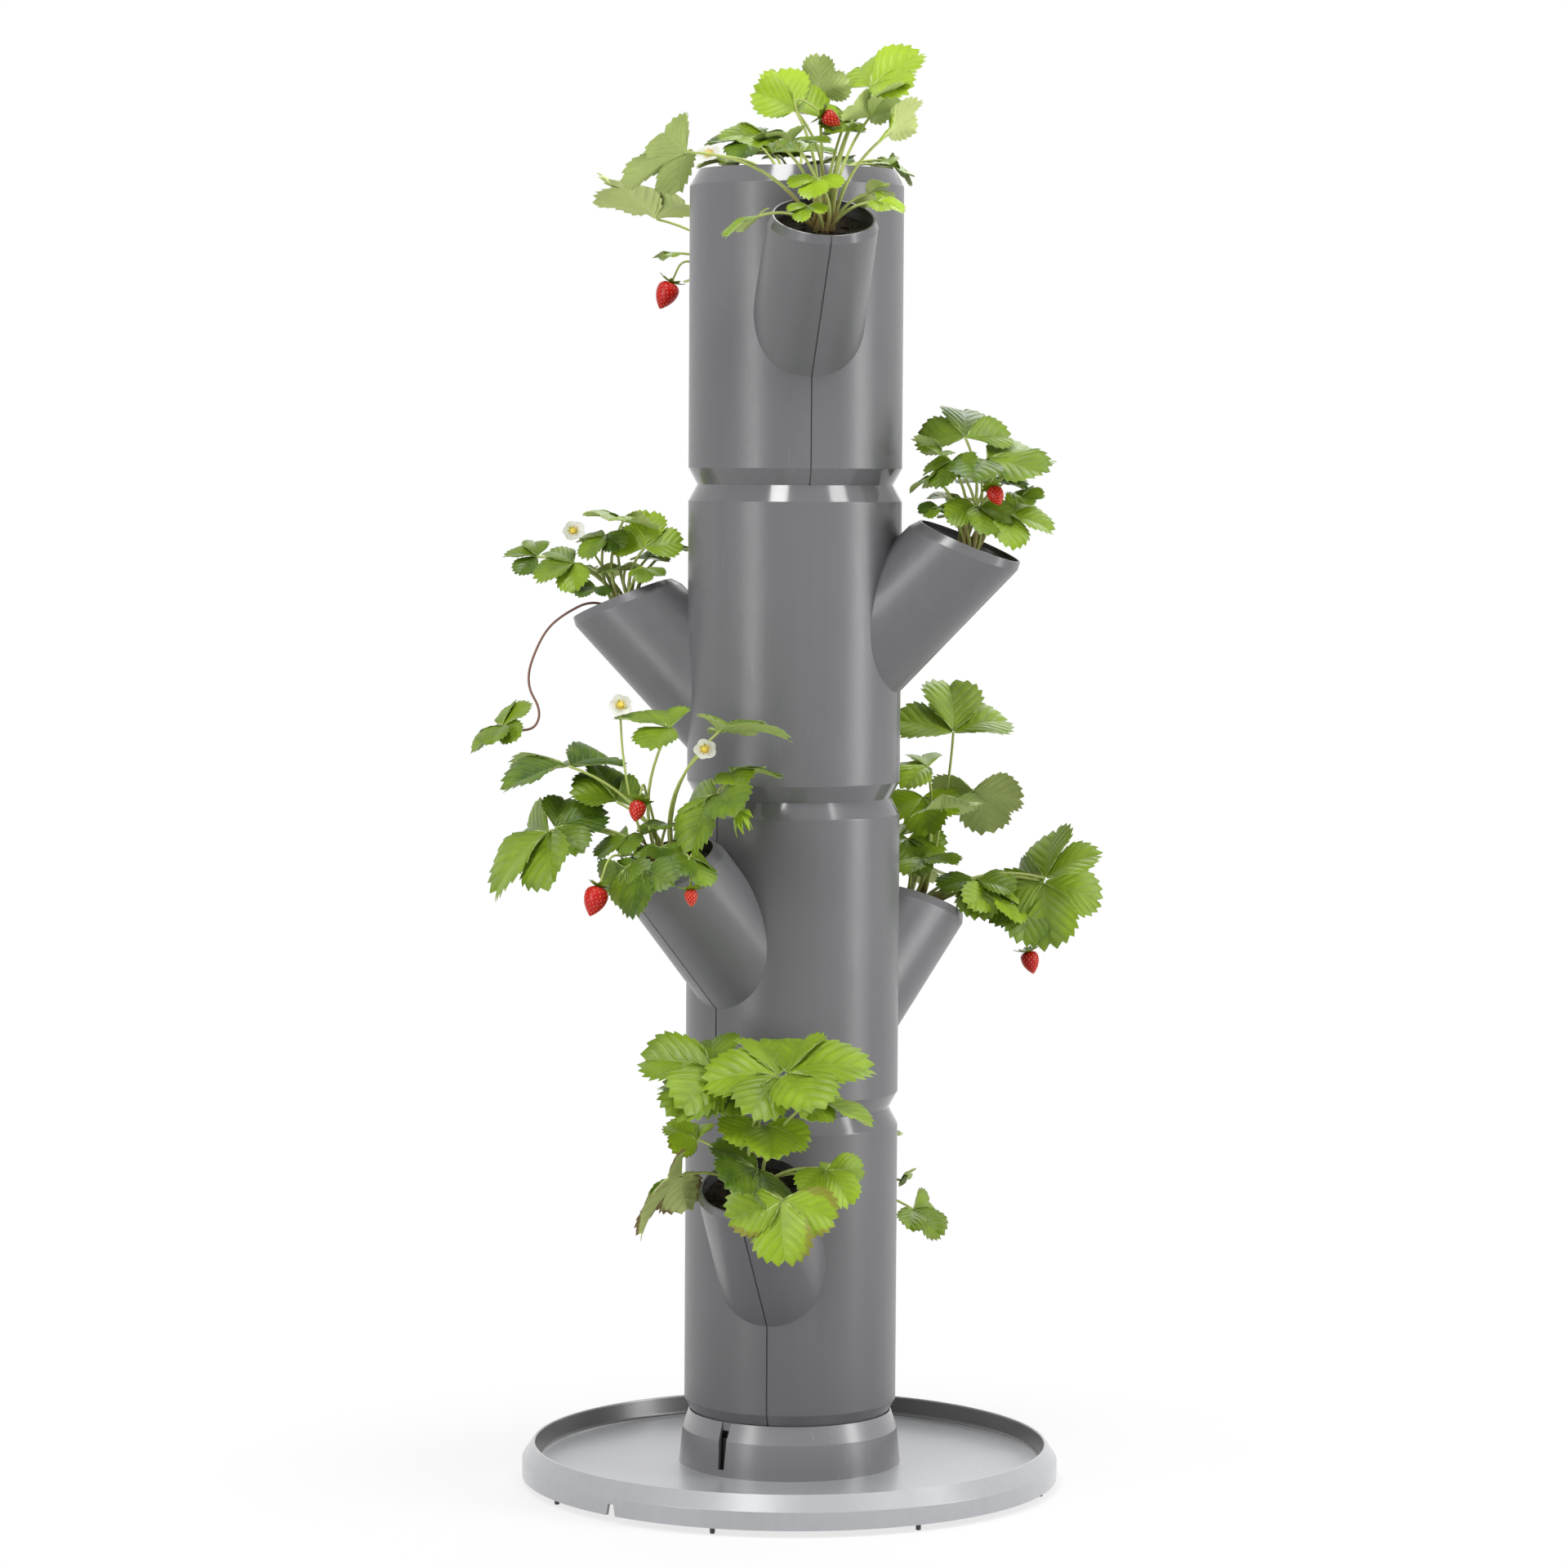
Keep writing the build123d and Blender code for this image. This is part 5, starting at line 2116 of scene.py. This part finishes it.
@dataclass(frozen=True)
class Softbox:
    """One soft lamp that looks at the tower, with its azimuth counted from the viewer to the right."""

    name: str
    azimuth: float
    elevation: float
    distance: float
    width: float
    height: float
    power: float

    def build(self, aim: Vector) -> None:
        """Hang the lamp.

        Args:
            aim: the place that it lights.
        """
        turn, rise = math.radians(self.azimuth), math.radians(self.elevation)
        level = math.cos(rise)
        away = Vector((math.sin(turn) * level, -math.cos(turn) * level, math.sin(rise)))
        lamp = bpy.data.lights.new(self.name, "AREA")
        lamp.shape = "RECTANGLE"
        lamp.size = self.width
        lamp.size_y = self.height
        lamp.energy = self.power
        holder = bpy.data.objects.new(self.name, lamp)
        holder.location = aim + away * self.distance
        holder.rotation_euler = (-away).to_track_quat("-Z", "Y").to_euler()
        bpy.context.scene.collection.objects.link(holder)


@dataclass
class Studio:
    """Pale floor, white surroundings, soft lamps and the viewer's camera."""

    floor_radius: float = 12.0
    floor_sides: int = 96
    floor_paint: tuple[float, ...] = (0.86, 0.86, 0.86, 1.0)
    shadow_span: Span = (0.44, 0.17)
    shadow_share: float = 0.24
    world_light: float = 0.25
    aim: Vector = field(default_factory=lambda: Vector((0.0, 0.0, 0.5)))
    lamps: tuple[Softbox, ...] = (
        Softbox("left_softbox", -46.0, 8.0, 2.6, 0.42, 2.4, 31.0),
        Softbox("right_softbox", 74.0, 8.0, 2.4, 0.5, 2.4, 38.0),
        Softbox("left_window", -24.0, 57.0, 2.8, 0.7, 0.9, 36.0),
        Softbox("right_window", 64.0, 56.0, 2.8, 0.7, 0.9, 22.0),
        Softbox("back_softbox", 165.0, 40.0, 3.0, 1.6, 1.2, 22.0),
    )
    eye: Vector = field(default_factory=lambda: Vector((-0.00665, -3.39933, 0.72463)))
    pitch: float = 3.844
    lean: float = 0.337
    sensor: float = 36.0
    lens: float = 110.9

    @staticmethod
    def seen(graph: Graph) -> Wire:
        """Tell what the camera sees from plain light.

        Args:
            graph: nodes of the finish.

        Returns:
            1 for what is seen straight, mirrored or through glass, and 0 for other light.
        """
        rays = graph.add("ShaderNodeLightPath").outputs
        kinds = ("Camera", "Glossy", "Transmission")
        return functools.reduce(Wire.most, (Wire(graph, rays[f"Is {kind} Ray"]) for kind in kinds))

    def build_floor(self) -> None:
        """Lay the floor, which is white further off and keeps the shadow near the tray."""
        points = circle(self.floor_sides, np.array((1.0, 0.0, 0.0)), np.array((0.0, 1.0, 0.0)))
        mesh = bpy.data.meshes.new("floor")
        mesh.from_pydata((points * self.floor_radius).tolist(), [], [list(range(self.floor_sides))])
        material, graph = new_finish("floor")
        reach = graph.measure("LENGTH", graph.place())
        paint = graph.node("ShaderNodeBsdfDiffuse", None, {"Color": self.floor_paint})
        white = graph.node("ShaderNodeEmission", None, {"Color": WHITE, "Strength": 1.0})
        share = self.seen(graph) * (1 - reach.ramp(*self.shadow_span) * self.shadow_share)
        graph.close(graph.node("ShaderNodeMixShader", None, {0: share, 1: paint, 2: white}))
        mesh.materials.append(material)
        floor = bpy.data.objects.new("floor", mesh)
        bpy.context.scene.collection.objects.link(floor)

    def build_world(self) -> None:
        """Surround the tower with even light that looks white."""
        world = bpy.data.worlds.new("surroundings")
        world.use_nodes = True
        graph = Graph(world.node_tree)
        strength = self.seen(graph) * (1 - self.world_light) + self.world_light
        sky = graph.node("ShaderNodeBackground", None, {"Color": WHITE, "Strength": strength})
        graph.close(sky, "ShaderNodeOutputWorld")
        bpy.context.scene.world = world

    def build_camera(self) -> None:
        """Set up the camera at the viewer's place."""
        lens = bpy.data.cameras.new("viewer")
        lens.sensor_width = self.sensor
        lens.lens = self.lens
        camera = bpy.data.objects.new("viewer", lens)
        level = Matrix.Rotation(math.radians(90.0 - self.pitch), 4, "X")
        lean = Matrix.Rotation(math.radians(self.lean), 4, "Z")
        camera.matrix_world = Matrix.Translation(self.eye) @ level @ lean
        bpy.context.scene.collection.objects.link(camera)
        bpy.context.scene.camera = camera

    def build(self) -> None:
        """Build the stage."""
        self.build_floor()
        self.build_world()
        for lamp in self.lamps:
            lamp.build(self.aim)
        self.build_camera()
        bpy.context.scene.view_settings.view_transform = "Standard"


def main() -> None:
    """Build the planter's looks and its stage."""
    logging.basicConfig(level=logging.INFO, format="%(message)s")
    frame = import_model()
    sizes = TowerSizes()
    levels = {joint["child"]: float(joint["pos_m"][2]) for joint in frame["joints"]}
    bases = {storey: levels[f"{storey}_storey"] for storey in sizes.turns}
    palette = Palette()
    tower = Tower(frame["nodes"], bases, sizes, palette)
    tower.dress()
    for name, growth in GROWTHS.items():
        storey, side = name.split("_")
        mouth = tower.mouth(storey, Side(side))
        pieces = Plant(name, mouth, growth, palette).build()
        pieces.append(Mulch(name, mouth, palette).build())
        for piece in pieces:
            LOG.info("%s: %d faces", piece.name, len(piece.data.polygons))
    Studio().build()


if __name__ == "__main__":
    main()
